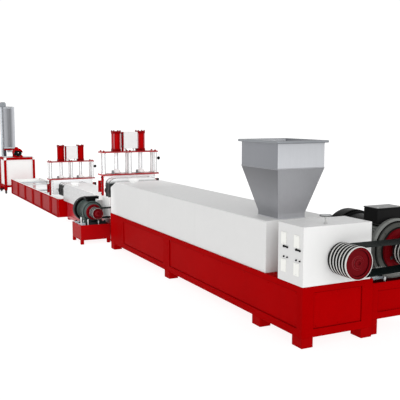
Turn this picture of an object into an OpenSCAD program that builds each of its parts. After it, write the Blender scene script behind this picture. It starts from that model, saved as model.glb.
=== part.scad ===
// Two-stage plastic pelletizing line: main extruder with hopper and belt drive,
// first screen changer, second extruder, second screen changer over a water
// trough, strand pelletizer and product silo.
// Millimetres, +Z up, +X towards the main drive end. The floor is z = 0 and the
// origin is on the floor at the middle of the footprint.
// Inside the modules x = 0 is the main bed's drive end and y = 0 its operator side.

/* [Main extruder] */
// Length of the main bed
bed_l = 4636; // [4600:1:4650]
// Width of the main bed
bed_w = 708; // [700:1:710]
// Height of the main bed's deck above the floor
bed_top = 500; // [495:1:505]
// Clear height under the main bed's frame
bed_under = 83; // [70:1:95]
// Recess of the infill panels behind the frame
panel_recess = 8; // [6:1:15]
// Length of the main gearbox along the line
gear_l = 359; // [340:1:380]
// Height of the main gearbox above the deck
gear_h = 481; // [460:1:490]
// Height of the main barrel hood above the deck
hood_h = 450; // [430:1:460]
// Gap along the deck between gearbox and hood
throat_gap = 206; // [180:1:215]

/* [Hopper] */
// Length of the hopper's upper bin along the line
bin_l = 610; // [590:1:620]
// Width of the hopper's upper bin
bin_w = 482; // [470:1:490]
// Height of the bin's rim above the floor
bin_top = 1636; // [1600:1:1650]
// Sheet thickness of the hopper
sheet = 5; // [4:1:8]

/* [Main drive] */
// Outer radius of the gearbox pulley
pulley_r = 133; // [128:1:135]
// Outer radius of the motor pulley
motor_pulley_r = 122; // [118:1:124]
// Width of both main pulleys
pulley_w = 227; // [222:1:227]
// Number of belts on the main drive
belt_n = 5; // [4:1:5]
// Radius of the main motor's frame
motor_r = 260; // [250:1:260]

/* [Screen changers] */
// Diameter of the piston rods
rod_d = 56; // [46:1:56]
// Diameter of the guide columns
column_d = 44; // [36:1:46]
// Free height between the two plates
plate_gap = 300; // [290:1:310]
// Drop from the first changer to the second
stage_drop = 322; // [318:1:325]

/* [Second extruder] */
// Height of the second bed's deck above the floor
bed2_top = 345; // [340:1:348]
// Height of the second hood above its deck
hood2_h = 310; // [300:1:315]
// Radius of the second motor's frame
motor2_r = 155; // [148:1:155]

/* [Water trough] */
// Length of the trough
tank_l = 4300; // [4250:1:4300]
// Width of the trough
tank_w = 700; // [680:1:710]
// Height of the trough's rim above the floor
tank_top = 375; // [370:1:378]
// Number of bays along a side
tank_bays = 6; // [5:1:7]

/* [Pelletizer and silo] */
// Height of the pelletizer's frame above the floor
pel_top = 865; // [855:1:870]
// Radius of the silo
silo_r = 147; // [140:1:147]
// Height of the silo's roof above the floor
silo_top = 2070; // [2000:1:2075]

/* [Hidden] */
$fn = 96;

x_front = 8 + pulley_w;           // drive-end limit of the footprint
x_back = -13400;                  // silo-end limit
y_near = -310;                    // operator-side limit
y_far = 1302;                     // far-side limit
cx = (x_front + x_back) / 2;
cy = (y_near + y_far) / 2;

post = 110;                       // width of the bed's posts
foot_l = 137;                     // length of the bed's feet along the line
rail_lo = 65;                     // height of the bottom rail
rail_hi = 50;                     // height of the top rail
post_x = [[-74, 0], [-2770, -2601], [-bed_l, -4119]];

axis_y = 354;                     // common centre line of both extruders
p1 = [362, 706];                  // main gearbox pulley, y and z
m1 = [1020, 712];                  // main motor, y and z
p2 = [axis_y, 455];               // second gearbox pulley
m2 = [-85, 452];                  // second motor
d1_x = 8;                         // inner face of the main pulleys
d2_x = -5090;                     // inner face of the second pulleys
d2_w = 150;
d2_n = 3;
shaft_r = 30;
bed2 = [-7545, -5100, 170, 538, 30];   // second bed: x, x, y, y, underside
hood2_y = [107, 548];
tank_x1 = -7550;
tank_x0 = tank_x1 - tank_l;
tank_z0 = 40;

ch_x = [-4900, -7980];            // changer centres along the line
ch_y = 372;
ch_z = 1008;                      // underside of the first changer's lower plate
ch_dz = [0, -stage_drop];
rod_y = [189, 558];
lo_t = 20;
up_t = 18;
col_dx = 70;
col_dy = 392;
cyl_h = 286;
cap_w = 116;
rod_gap = 3;

pel_x = [-12800, -12150];
pel_y = [-92, 642];
tube = 55;
silo_c = [-13250, 250];

module place() { translate([-cx, -cy, 0]) children(); }
module bx(x0, x1, y0, y1, z0, z1) { translate([x0, y0, z0]) cube([x1 - x0, y1 - y0, z1 - z0]); }
module xcyl(x0, x1, y, z, r) { translate([x0, y, z]) rotate([0, 90, 0]) cylinder(h = x1 - x0, r = r); }
module ycyl(y0, y1, x, z, r) { translate([x, y1, z]) rotate([90, 0, 0]) cylinder(h = y1 - y0, r = r); }
module zcyl(x, y, z0, z1, r) { translate([x, y, z0]) cylinder(h = z1 - z0, r = r); }
// Solid of revolution about a line along x; the outline is [radius, distance along x]
module xturn(x, y, z, pts) { translate([x, y, z]) rotate([0, 90, 0]) rotate_extrude() polygon(pts); }
// Outline in x and z, carried from y0 to y1
module side_profile(y0, y1, pts) { translate([0, y1, 0]) rotate([90, 0, 0]) linear_extrude(height = y1 - y0) polygon(pts); }

// Frustum between two level rectangles [x0, x1, y0, y1]
module frustum(a, za, b, zb) {
  polyhedron(points = [[a[0], a[2], za], [a[1], a[2], za], [a[1], a[3], za], [a[0], a[3], za],
                       [b[0], b[2], zb], [b[1], b[2], zb], [b[1], b[3], zb], [b[0], b[3], zb]],
    faces = [[0, 1, 2, 3], [7, 6, 5, 4], [4, 5, 1, 0], [5, 6, 2, 1], [6, 7, 3, 2], [7, 4, 0, 3]]);
}

// ---- beds -------------------------------------------------------------
function win_x() = [for (i = [0 : len(post_x) - 2]) [post_x[i + 1][1], post_x[i][0]]];
win_z = [bed_under + rail_lo, bed_top - rail_hi];

// A welded cabinet: posts and rails stand proud of shallow panel recesses
module main_bed_frame() place() color("firebrick")
  difference() {
    bx(-bed_l, 0, 0, bed_w, bed_under, bed_top);
    for (w = win_x()) {
      bx(w[0], w[1], -1, panel_recess + 5, win_z[0], win_z[1]);
      bx(w[0], w[1], bed_w - panel_recess - 5, bed_w + 1, win_z[0], win_z[1]);
    }
    bx(-panel_recess - 5, 1, post, bed_w - post, win_z[0], win_z[1]);
    bx(-bed_l - 1, -bed_l + panel_recess + 5, post, bed_w - post, win_z[0], win_z[1]);
  }

win2_x = [[-6260, -5200], [-7445, -6360]];
win2_z = [bed2[4] + 50, bed2_top - 40];
module second_bed_frame() place() color("firebrick")
  difference() {
    bx(bed2[0], bed2[1], bed2[2], bed2[3], bed2[4], bed2_top);
    for (w = win2_x) {
      bx(w[0], w[1], bed2[2] - 1, bed2[2] + panel_recess + 5, win2_z[0], win2_z[1]);
      bx(w[0], w[1], bed2[3] - panel_recess - 5, bed2[3] + 1, win2_z[0], win2_z[1]);
    }
    bx(bed2[1] - panel_recess - 5, bed2[1] + 1, bed2[2] + 80, bed2[3] - 80, win2_z[0], win2_z[1]);
  }

module bed_panels() place() color("crimson") {
  for (w = win_x(), y = [panel_recess, bed_w - panel_recess - 5])
    bx(w[0], w[1], y, y + 5, win_z[0], win_z[1]);
  for (x = [-panel_recess - 5, -bed_l + panel_recess])
    bx(x, x + 5, post, bed_w - post, win_z[0], win_z[1]);
  for (w = win2_x, y = [bed2[2] + panel_recess, bed2[3] - panel_recess - 5])
    bx(w[0], w[1], y, y + 5, win2_z[0], win2_z[1]);
  bx(bed2[1] - panel_recess - 5, bed2[1] - panel_recess, bed2[2] + 80, bed2[3] - 80, win2_z[0], win2_z[1]);
}

module bed_feet() place() color("darkred") {
  for (x = [-foot_l, -767, -2737, -4630], y = [0, bed_w - post]) bx(x, x + foot_l, y, y + post, 0, bed_under);
  for (x = [-5190, -6350, -7535], y = [bed2[2], bed2[3] - 80]) bx(x, x + 80, y, y + 80, 0, bed2[4]);
  for (x = [-110, -620], y = [715, y_far - 80]) bx(x, x + 80, y, y + 80, 0, 130);
  for (x = [-5095, -5500], y = [-310, 88]) bx(x, x + 45, y, y + 45, 0, 60);
  for (i = [0 : tank_bays], y = [200, tank_w - 260]) let (x = min(max(trough_post(i)[0], tank_x0 + 20), tank_x1 - 100))
    bx(x, x + 80, y, y + 60, 0, 60);
}

// ---- gearboxes ----------------------------------------------------------
gear_top = bed_top + gear_h;
module main_gearbox() place() color("whitesmoke")
  difference() {
    bx(-gear_l, 0, 0, 680, bed_top, gear_top);
    xcyl(-110, 1, p1[0], p1[1], shaft_r + 3);
  }
module second_gearbox() place() color("whitesmoke")
  difference() {
    bx(-5450, -5100, 150, 560, bed2_top, 690);
    xcyl(-5200, -5099, p2[0], p2[1], shaft_r + 3);
  }
module gearbox_breather() place() color("silver")
  translate([-73, 263, gear_top]) rotate_extrude()
    polygon([[0, 0], [14, 0], [14, 6], [7, 8], [7, 46], [22, 54], [50, 62], [50, 66], [34, 74], [0, 76]]);
// Pale cover strips on the gearbox's operator side
module gearbox_hatches() place() color("white")
  for (x = [-310, -126], z = [[577, 683], [803, 906]]) bx(x, x + 73, -5, 0, z[0], z[1]);
module hatch_latches() place() color("black")
  for (x = [-278, -102]) {
    bx(x, x + 73, -14, 0, 779, 799);
    for (dx = [0, 49]) bx(x + dx, x + dx + 24, -12, 0, 696, 714);
  }

// ---- hoods --------------------------------------------------------------
hood_x1 = -gear_l - throat_gap;
hood_top = bed_top + hood_h;
module main_hood() place() color("white")
  side_profile(8, bed_w - 14, [[hood_x1, bed_top], [hood_x1, hood_top], [-4430, hood_top], [-bed_l, hood_top - 85], [-bed_l, bed_top]]);
hood2_top = bed2_top + hood2_h;
module second_hood() place() color("white")
  side_profile(hood2_y[0], hood2_y[1], [[-5560, bed2_top], [-5560, hood2_top - 85], [-5780, hood2_top], [-7430, hood2_top],
    [bed2[0], hood2_top - 85], [bed2[0], bed2_top]]);
module hood_vents() place() color("white")
  for (p = [[-4330, 235, hood_top], [-7100, 200, hood2_top]]) translate(p) rotate_extrude()
    polygon([[0, 0], [56, 0], [56, 18], [75, 22], [75, 34], [68, 46], [50, 56], [26, 61], [0, 62]]);

// ---- hopper -------------------------------------------------------------
hop = [-777, 300];
neck = [hop[0] - 168, hop[0] + 168, hop[1] - 142, hop[1] + 142];
bin = [hop[0] - bin_l / 2, hop[0] + bin_l / 2, hop[1] - bin_w / 2, hop[1] + bin_w / 2];
bin_z0 = 1398;
function inset(r, t) = [r[0] + t, r[1] - t, r[2] + t, r[3] - t];
module hopper_bin() place() color("darkgray")
  difference() {
    union() {
      bx(bin[0], bin[1], bin[2], bin[3], bin_z0, bin_top);
      bx(bin[0] - 30, bin[1] + 30, bin[2] - 30, bin[3] + 30, bin_top - 22, bin_top);
    }
    bx(bin[0] + sheet, bin[1] - sheet, bin[2] + sheet, bin[3] - sheet, bin_z0 - 1, bin_top + 1);
  }
module hopper_cone() place() color("darkgray")
  difference() {
    union() {
      bx(neck[0], neck[1], neck[2], neck[3], hood_top, hood_top + 45);
      frustum(neck, hood_top + 45, bin, bin_z0);
    }
    bx(neck[0] + sheet, neck[1] - sheet, neck[2] + sheet, neck[3] - sheet, hood_top - 1, hood_top + 46);
    frustum(inset(neck, sheet), hood_top + 45, inset(bin, sheet), bin_z0);
    bx(bin[0] + sheet, bin[1] - sheet, bin[2] + sheet, bin[3] - sheet, bin_z0 - 0.01, bin_z0 + 1);
  }

// ---- pulleys and belts ----------------------------------------------------
rib = 15;
clear = 5.5;                      // belt to groove, all round
groove_d = 24;
function groove_w(w, n) = (w - (n + 1) * rib) / n;
function groove_x(w, n, i) = rib + i * (groove_w(w, n) + rib);
function pulley_pts(r, w, n, f) = concat([[0, 0], [r, 0]],
  [for (i = [0 : n - 1], k = [0 : 3])
     [k == 0 || k == 3 ? r : r - groove_d, groove_x(w, n, i) + (k < 2 ? 0 : groove_w(w, n))]],
  [[r, w], [r - 10, w], [r - 10, w - 14], [f, w - 14], [f, w - 6], [f * 0.4, w - 6], [f * 0.4, w - 2], [0, w - 2]]);
module pulley(x, c, r, w, n, f, shaft) {
  xturn(x, c[0], c[1], pulley_pts(r, w, n, f));
  xcyl(x - shaft, x + 1, c[0], c[1], shaft_r);
}
// Outline of a belt run round two pulleys, in y and z: an arc round each, joined by the tangents
function loop_pts(a, ra, b, rb, k) = let (
    t = atan2(b[1] - a[1], b[0] - a[0]),
    s = acos((ra - rb) / norm(b - a)))
  concat([for (i = [0 : k]) let (q = t + s + i * (360 - 2 * s) / k) a + ra * [cos(q), sin(q)]],
         [for (i = [0 : k]) let (q = t - s + i * 2 * s / k) b + rb * [cos(q), sin(q)]]);
module loop2d(a, ra, b, rb) { polygon(loop_pts(a, ra, b, rb, 30)); }
module belts(x, w, n, a, ra, b, rb) {
  in = groove_d - clear;
  out = 6;
  for (i = [0 : n - 1])
    translate([x + groove_x(w, n, i) + clear, 0, 0]) rotate([90, 0, 90])
      linear_extrude(height = groove_w(w, n) - 2 * clear)
        difference() { loop2d(a, ra - out, b, rb - out); loop2d(a, ra - in, b, rb - in); }
}
module main_pulley() place() color("brown") pulley(d1_x, p1, pulley_r, pulley_w, belt_n, 40, 100);
module main_motor_pulley() place() color("brown") pulley(d1_x, m1, motor_pulley_r, pulley_w, belt_n, 36, 150);
module main_belts() place() color("black") belts(d1_x, pulley_w, belt_n, p1, pulley_r, m1, motor_pulley_r);
module second_pulley() place() color("brown") pulley(d2_x, p2, 85, d2_w, d2_n, 34, 90);
module second_motor_pulley() place() color("brown") pulley(d2_x, m2, 80, d2_w, d2_n, 34, 140);
module second_belts() place() color("black") belts(d2_x, d2_w, d2_n, p2, 85, m2, 80);

// ---- motors ---------------------------------------------------------------
base_z = 447;
base2_z = 280;
tray = 32;                        // depth of the trays that the slide rails lie in
module motor_body(c, r, x0, x1, foot_z, fy, fx) difference() {
  union() {
    xturn(x0, c[0], c[1], [[0, 0], [r - 4, 0], [r - 4, 30], [r - 16, 30], [r - 16, x1 - x0 - 80], [r, x1 - x0 - 78],
      [r, x1 - x0 - 40], [r * 0.82, x1 - x0 - 10], [r * 0.7, x1 - x0], [0, x1 - x0]]);
    for (s = [-1, 1]) bx(fx[0], fx[1], c[0] + s * fy - 28, c[0] + s * fy + 28, foot_z, c[1] - r * 0.55);
  }
  xcyl(x1 - 130, x1 + 1, c[0], c[1], shaft_r + 3);
}
module motor_bodies() place() color("darkslategray") {
  motor_body(m1, motor_r, -622, -40, base_z + 20, 178, [-470, -130]);
  motor_body(m2, motor2_r, -5504, -5150, base2_z + 12, 100, [-5440, -5200]);
}
module motor_end_covers() place() color("brown") {
  for (c = [[m1, 182, -40, 30], [m2, 113, -5150, 28]]) difference() {
    xturn(c[2], c[0][0], c[0][1], [[0, 0], [c[1], 0], [c[1], c[3] - 8], [c[1] - 8, c[3]], [0, c[3]]]);
    xcyl(c[2] - 1, c[2] + c[3] + 1, c[0][0], c[0][1], shaft_r + 6);
  }
}
module motor_fan_cowls() place() color("black")
  for (c = [[m1, 270, -772, 150], [m2, 184, -5624, 120]])
    xturn(c[2], c[0][0], c[0][1], [[0, 0], [c[1] - 24, 0], [c[1] - 8, 6], [c[1], 24], [c[1], c[3]], [0, c[3]]]);
module motor_terminal_boxes() place() color("black") {
  difference() { bx(-310, -132, 850, 1130, 890, 1065); xcyl(-640, 0, m1[0], m1[1], motor_r + 0.5); }
  difference() { bx(-5372, -5270, -168, 40, 595, 666); xcyl(-5700, -5100, m2[0], m2[1], motor2_r + 0.5); }
}
module motor_bases() place() color("firebrick") {
  difference() {
    bx(-620, -30, 715, y_far, 130, base_z);
    bx(-42, -29, 795, y_far - 80, 190, base_z - 45);
    bx(-621, -608, 795, y_far - 80, 190, base_z - 45);
    bx(-540, -110, y_far - 12, y_far + 1, 190, base_z - 45);
    bx(-606, -44, 729, y_far - 14, base_z - tray, base_z + 1);
  }
  difference() {
    bx(-5500, -5050, y_near, 133, 60, base2_z);
    bx(-5488, -5062, y_near + 12, 121, base2_z - tray, base2_z + 1);
  }
}
// Slide rails under the motors, with their tension and clamp bolts
module motor_slide_rails() place() color("lightgray") {
  for (x = [-465, -195]) {
    bx(x, x + 60, 732, 1285, base_z - tray, base_z + 20);
    for (y = [765, 1255]) zcyl(x + 30, y, base_z + 20, base_z + 62, 10);
  }
  for (x = [-5435, -5250]) {
    bx(x, x + 45, -295, 118, base2_z - tray, base2_z + 12);
    for (y = [-275, 105]) zcyl(x + 22, y, base2_z + 12, base2_z + 34, 9);
  }
  for (y = [m1[0] - 118, m1[0] + 118]) zcyl(-75, y, base_z - tray, base_z + 31, 9);
  for (b = [[-286, 147], [-183, 106], [-25, 79]]) zcyl(-5110, b[0], base2_z - tray, base2_z - tray + b[1], 8);
}

// ---- screen changers --------------------------------------------------------
module changer_adapters() place() color("darkslategray") {
  bx(ch_x[0] + 85, -bed_l, -8, 716, 720, 975);
  bx(ch_x[1] + 110, bed2[0], 112, 596, 420, 640);
}
module changer_bodies() place() color("gainsboro")
  for (i = [0, 1]) bx(ch_x[i] - 85, ch_x[i] + (i == 0 ? 85 : 110), -10, 754, 720 + ch_dz[i] + (i == 0 ? 0 : 22), ch_z + ch_dz[i]);
module changer_plates() place() color("firebrick")
  for (i = [0, 1]) {
    bx(ch_x[i] - 110, ch_x[i] + 110, -54, 806, ch_z + ch_dz[i], ch_z + ch_dz[i] + lo_t);
    difference() {
      bx(ch_x[i] - 100, ch_x[i] + 100, -50, 797, up_z(i), up_z(i) + up_t);
      for (y = rod_y) zcyl(ch_x[i], y, up_z(i) - 1, up_z(i) + up_t + 1, rod_d / 2 + rod_gap);
    }
  }
function up_z(i) = ch_z + ch_dz[i] + lo_t + plate_gap;
module changer_columns() place() color("silver")
  for (i = [0, 1], s = [-1, 1], k = [-1, 0, 1])
    zcyl(ch_x[i] + s * col_dx, ch_y + k * col_dy, ch_z + ch_dz[i] + lo_t, up_z(i), column_d / 2);
// Tie-rod cylinders: two square heads, a tube and four rods each
module changer_cylinders() place() color("firebrick")
  for (i = [0, 1], y = rod_y) translate([ch_x[i], y, up_z(i) + up_t]) difference() {
    union() {
      bx(-cap_w / 2, cap_w / 2, -cap_w / 2, cap_w / 2, 0, 36);
      bx(-cap_w / 2, cap_w / 2, -cap_w / 2, cap_w / 2, cyl_h - 34, cyl_h);
      zcyl(0, 0, 30, cyl_h - 30, 54);
      for (a = [-1, 1], b = [-1, 1]) zcyl(a * 46, b * 46, 30, cyl_h + 12, 8);
    }
    zcyl(0, 0, -1, cyl_h - 18, rod_d / 2 + rod_gap);
  }
module changer_brackets() place() color("firebrick")
  for (i = [0, 1]) {
    z0 = 720 + ch_dz[i];
    for (y = [[-36, -10], [754, 780]]) bx(ch_x[i] - 20, ch_x[i] + 22, y[0], y[1], z0, ch_z + ch_dz[i]);
    bx(ch_x[i] - 105, ch_x[i] - 85, -56, 888, 760 + ch_dz[i] + (i == 0 ? 0 : 5), (i == 0 ? 926 : 920) + ch_dz[i]);
    bx(ch_x[i] + 40, ch_x[i] + 100, 255, 270, up_z(i) + up_t, up_z(i) + up_t + 276);
  }
module changer_control_boxes() place() color("white")
  for (i = [0, 1]) bx(ch_x[i] - 20, ch_x[i] + 105, 270, 482, up_z(i) + up_t + 40, up_z(i) + up_t + 276);
module changer_knobs() place() color("black")
  for (i = [0, 1]) translate([ch_x[i] + col_dx, ch_y + col_dy + column_d / 2, ch_z + ch_dz[i] + 229]) {
    ycyl(0, 16, 0, 0, 6);
    translate([0, 30, 0]) sphere(r = 24);
  }
module rod(i, k) place() color("silver") translate([ch_x[i], rod_y[k], ch_z + ch_dz[i] + lo_t]) {
  rotate_extrude() polygon([[0, 6], [56, 6], [56, 24], [53, 34], [46, 44], [38, 51], [rod_d / 2, 56], [rod_d / 2, plate_gap + 84], [rod_d / 2 - 6, plate_gap + 90], [0, plate_gap + 90]]);
}
module first_near_rod() rod(0, 0);
module first_far_rod() rod(0, 1);
module second_near_rod() rod(1, 0);
module second_far_rod() rod(1, 1);

// ---- water trough -------------------------------------------------------------
// Posts of a side, from the far end: equal bays, then a short one at the die
pitch = (tank_l - 592) / (tank_bays - 1);
function trough_post(i) = i == 0 ? [tank_x0, tank_x0 + 80] : i == tank_bays ? [tank_x1 - 80, tank_x1]
  : [tank_x0 + 18 + i * pitch - 60, tank_x0 + 18 + i * pitch + 60];
module trough_side_frames() place() color("firebrick")
  for (s = [0, 1]) translate([0, s * tank_w, 0]) mirror([0, s, 0]) {
    bx(tank_x0, tank_x1, 0, 12, tank_z0, tank_z0 + 22);
    bx(tank_x0, tank_x1, 0, 32, tank_top - 5, tank_top);
    bx(tank_x0, tank_x1, 0, 12, tank_top - 22, tank_top);
    for (i = [0 : tank_bays]) bx(trough_post(i)[0], trough_post(i)[1], 0, 12, tank_z0, tank_top);
  }
module trough_side_walls() place() color("indianred")
  for (y = [12, tank_w - 17]) bx(tank_x0, tank_x1, y, y + 5, tank_z0, tank_top - 5);
module trough_end_walls() place() color("firebrick")
  for (x = [tank_x0, tank_x1 - 12]) bx(x, x + 12, 17, tank_w - 17, tank_z0, tank_top - 5);
module trough_floor() place() color("silver") bx(tank_x0 + 12, tank_x1 - 12, 17, tank_w - 17, 60, 65);
module trough_rollers() place() color("gray")
  for (x = [-11170, -9400]) ycyl(17, tank_w - 17, x, tank_top - 32, 16);

// ---- pelletizer ---------------------------------------------------------------
px = [pel_x[0], pel_x[1] - tube];
py = [pel_y[0], pel_y[1] - tube];
module pelletizer_frame() place() color("firebrick")
  for (x = px, y = py) bx(x, x + tube, y, y + tube, 85, pel_top - 60);
module pelletizer_rails() place() color("firebrick") {
  for (y = py) bx(px[0] + tube, px[1], y + 4, y + tube - 4, 150, 200);
  for (x = px) bx(x + 4, x + tube - 4, py[0] + tube, py[1], 150, 200);
  for (y = py) bx(px[0] + tube + 2, px[1] - 2, y + 2, y + tube - 2, pel_top - 57, pel_top - 2);
  for (x = px) bx(x + 2, x + tube - 2, py[0] + tube + 2, py[1] - 2, pel_top - 57, pel_top - 2);
}
module pelletizer_corners() place() color("white")
  for (x = px, y = py) bx(x == px[0] ? x : x - 2, x == px[0] ? x + tube + 2 : x + tube, y == py[0] ? y : y - 2, y == py[0] ? y + tube + 2 : y + tube, pel_top - 60, pel_top);
module pelletizer_panels() place() color("whitesmoke") {
  for (y = [py[0] + 24, py[1] + 28]) bx(px[0] + tube, px[1], y, y + 4, 200, pel_top - 60);
  for (x = [px[0] + 24, px[1] + 28]) bx(x, x + 4, py[0] + tube, py[1], 200, pel_top - 60);
  bx(px[0] + 35, px[1] + 20, py[0] + 35, py[1] + 20, pel_top, pel_top + 3);
}
pm = [252, 975];
module pelletizer_motor() place() color("black") {
  xturn(-12480, pm[0], pm[1], [[0, 0], [79, 0], [90, 10], [90, 70], [85, 72], [85, 250], [90, 252], [90, 285], [74, 300], [30, 302], [30, 310], [0, 310]]);
}
// Saddle under the motor, with a guard arched over it and a sloped plate before its face
module pelletizer_motor_mount() place() color("firebrick") {
  difference() {
    union() {
      translate([-12420, 0, 0]) rotate([90, 0, 90]) linear_extrude(height = 240)
        polygon([[pm[0] - 100, pel_top + 3], [pm[0] + 126, pel_top + 3], [pm[0] + 92, 916], [pm[0] + 60, 940], [pm[0] - 60, 940], [pm[0] - 70, 916]]);
      difference() {
        xcyl(-12370, -12158, pm[0], pm[1], 105);
        bx(-12400, -12150, 0, 500, 800, 979);
      }
      bx(-12340, -12245, pm[0] - 105, pm[0] - 92, pel_top + 3, 985);
    }
    xcyl(-12600, -12100, pm[0], pm[1], 90.6);
  }
  translate([-12166, pm[0], pm[1]]) rotate([90, 0, 90]) linear_extrude(height = 8)
    polygon([[-72, 60], [66, 42], [84, 62], [15, 104], [-23, 142], [-70, 142], [-92, 100]]);
}
module caster(x, y) {
  ycyl(y - 15, y + 15, x, 37, 37);
  for (s = [-1, 1]) bx(x - 14, x + 14, y + s * 19 - 3, y + s * 19 + 3, 26, 76);
  ycyl(y - 24, y + 24, x, 37, 7);
  bx(x - 26, x + 26, y - 26, y + 26, 76, 85);
}
module pelletizer_casters() place() color("black")
  for (x = [px[0] + 28, px[1] + 27], y = [py[0] + 28, py[1] + 27]) caster(x, y);

// ---- silo -----------------------------------------------------------------------
silo_z0 = 1040;
module silo_shell() place() color("darkgray") difference() {
  zcyl(silo_c[0], silo_c[1], silo_z0, silo_top, silo_r);
  zcyl(silo_c[0], silo_c[1], silo_z0 - 1, silo_top + 1, silo_r - 4);
}
module silo_lid() place() color("darkgray") zcyl(silo_c[0], silo_c[1], silo_top, silo_top + 10, silo_r + 3);
module silo_floor() place() color("gray") zcyl(silo_c[0], silo_c[1], silo_z0 - 4, silo_z0, silo_r);
module silo_stand() place() color("firebrick") {
  for (x = [-145, 105], y = [-145, 105]) bx(silo_c[0] + x, silo_c[0] + x + 40, silo_c[1] + y, silo_c[1] + y + 40, 0, silo_z0 - 4);
  for (s = [-145, 105]) {
    bx(silo_c[0] - 145, silo_c[0] + 145, silo_c[1] + s, silo_c[1] + s + 40, silo_z0 - 44, silo_z0 - 4);
    bx(silo_c[0] + s, silo_c[0] + s + 40, silo_c[1] - 145, silo_c[1] + 145, silo_z0 - 44, silo_z0 - 4);
    bx(silo_c[0] - 144, silo_c[0] + 144, silo_c[1] + s + 1, silo_c[1] + s + 39, 180, 218);
  }
}
pipe_y = 70;
module silo_pipe() place() color("darkgray") {
  zcyl(silo_c[0], pipe_y, 500, silo_top + 30, 28);
  translate([silo_c[0] - 60, 0, 0]) rotate([90, 0, 90]) linear_extrude(height = 120)
    polygon([[38, silo_top + 10], [186, silo_top + 10], [186, silo_top + 92], [160, silo_top + 130], [70, silo_top + 130], [38, silo_top + 100]]);
}
module silo_blower() place() color("maroon") {
  ycyl(22, 100, silo_c[0], 340, 150);
  bx(silo_c[0] - 45, silo_c[0] + 45, 25, 98, 340, 500);
  ycyl(-140, 23, silo_c[0], 340, 82);
  bx(silo_c[0] - 120, silo_c[0] + 120, -120, 96, 0, 40);
  for (x = [-110, 80]) bx(silo_c[0] + x, silo_c[0] + x + 30, 26, 94, 30, 300);
}

main_bed_frame();
second_bed_frame();
bed_panels();
bed_feet();
main_gearbox();
second_gearbox();
gearbox_breather();
gearbox_hatches();
hatch_latches();
main_hood();
second_hood();
hood_vents();
hopper_bin();
hopper_cone();
main_pulley();
main_motor_pulley();
main_belts();
second_pulley();
second_motor_pulley();
second_belts();
motor_bodies();
motor_end_covers();
motor_fan_cowls();
motor_terminal_boxes();
motor_bases();
motor_slide_rails();
changer_adapters();
changer_bodies();
changer_plates();
changer_columns();
changer_cylinders();
changer_brackets();
changer_control_boxes();
changer_knobs();
first_near_rod();
first_far_rod();
second_near_rod();
second_far_rod();
trough_side_frames();
trough_side_walls();
trough_end_walls();
trough_floor();
trough_rollers();
pelletizer_frame();
pelletizer_rails();
pelletizer_corners();
pelletizer_panels();
pelletizer_motor();
pelletizer_motor_mount();
pelletizer_casters();
silo_shell();
silo_lid();
silo_floor();
silo_stand();
silo_pipe();
silo_blower();
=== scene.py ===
"""Looks of the plastic pelletizing line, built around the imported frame."""
import bpy, bmesh, math
import numpy as np
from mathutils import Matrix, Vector


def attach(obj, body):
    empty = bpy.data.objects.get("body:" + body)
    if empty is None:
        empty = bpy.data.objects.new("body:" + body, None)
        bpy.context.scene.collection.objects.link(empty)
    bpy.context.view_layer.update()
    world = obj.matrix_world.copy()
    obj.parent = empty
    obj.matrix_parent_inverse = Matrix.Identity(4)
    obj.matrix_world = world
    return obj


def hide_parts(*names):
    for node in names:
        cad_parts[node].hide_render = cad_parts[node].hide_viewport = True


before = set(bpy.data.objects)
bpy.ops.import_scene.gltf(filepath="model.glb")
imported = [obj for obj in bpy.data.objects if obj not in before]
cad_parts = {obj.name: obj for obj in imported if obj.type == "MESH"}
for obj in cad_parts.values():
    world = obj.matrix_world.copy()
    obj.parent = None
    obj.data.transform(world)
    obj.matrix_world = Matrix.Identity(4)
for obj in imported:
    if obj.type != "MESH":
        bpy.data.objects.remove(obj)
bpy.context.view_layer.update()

# ------------------------------------------------------------------ frame
# The modules below work in millimetres, x = 0 at the main bed's drive end,
# y = 0 at its operator side, z = 0 on the floor, and are placed at the end.
OFF = np.array([6582.5, -496.0, 0.0])
LINE = "line"


def to_row(v):
    return (np.asarray(v, float) + OFF) / 1000.0


def to_mm(v):
    return np.asarray(v, float) * 1000.0 - OFF


# ------------------------------------------------------------------ shapes
# A shape is (vertices, faces, edge flags, material per face).
_cache = {}


def from_bm(bm, flags):
    bm.verts.index_update()
    v = np.array([x.co[:] for x in bm.verts], float).reshape(-1, 3)
    f = [tuple(q.index for q in fc.verts) for fc in bm.faces]
    e = [1.0 if fc in flags else 0.0 for fc in bm.faces]
    return v, f, e, [0] * len(f)


def bevel_bm(bm, off, seg, limit=25.0):
    edges = [e for e in bm.edges if len(e.link_faces) == 2 and e.calc_face_angle(0) > math.radians(limit)]
    if not edges or off <= 0:
        return set()
    r = bmesh.ops.bevel(bm, geom=edges, offset=off, offset_type="OFFSET", segments=seg, profile=0.5,
                        affect="EDGES", clamp_overlap=True)
    return set(r["faces"])


def rbox(sx, sy, sz, b=2.0, seg=2):
    """Block with rolled edges, centred."""
    key = ("rbox", round(sx, 3), round(sy, 3), round(sz, 3), b, seg)
    if key not in _cache:
        bm = bmesh.new()
        bmesh.ops.create_cube(bm, size=1.0)
        for v in bm.verts:
            v.co = Vector((v.co.x * sx, v.co.y * sy, v.co.z * sz))
        fl = bevel_bm(bm, min(b, 0.45 * min(sx, sy, sz)), seg)
        _cache[key] = from_bm(bm, fl)
        bm.free()
    return _cache[key]


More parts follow.
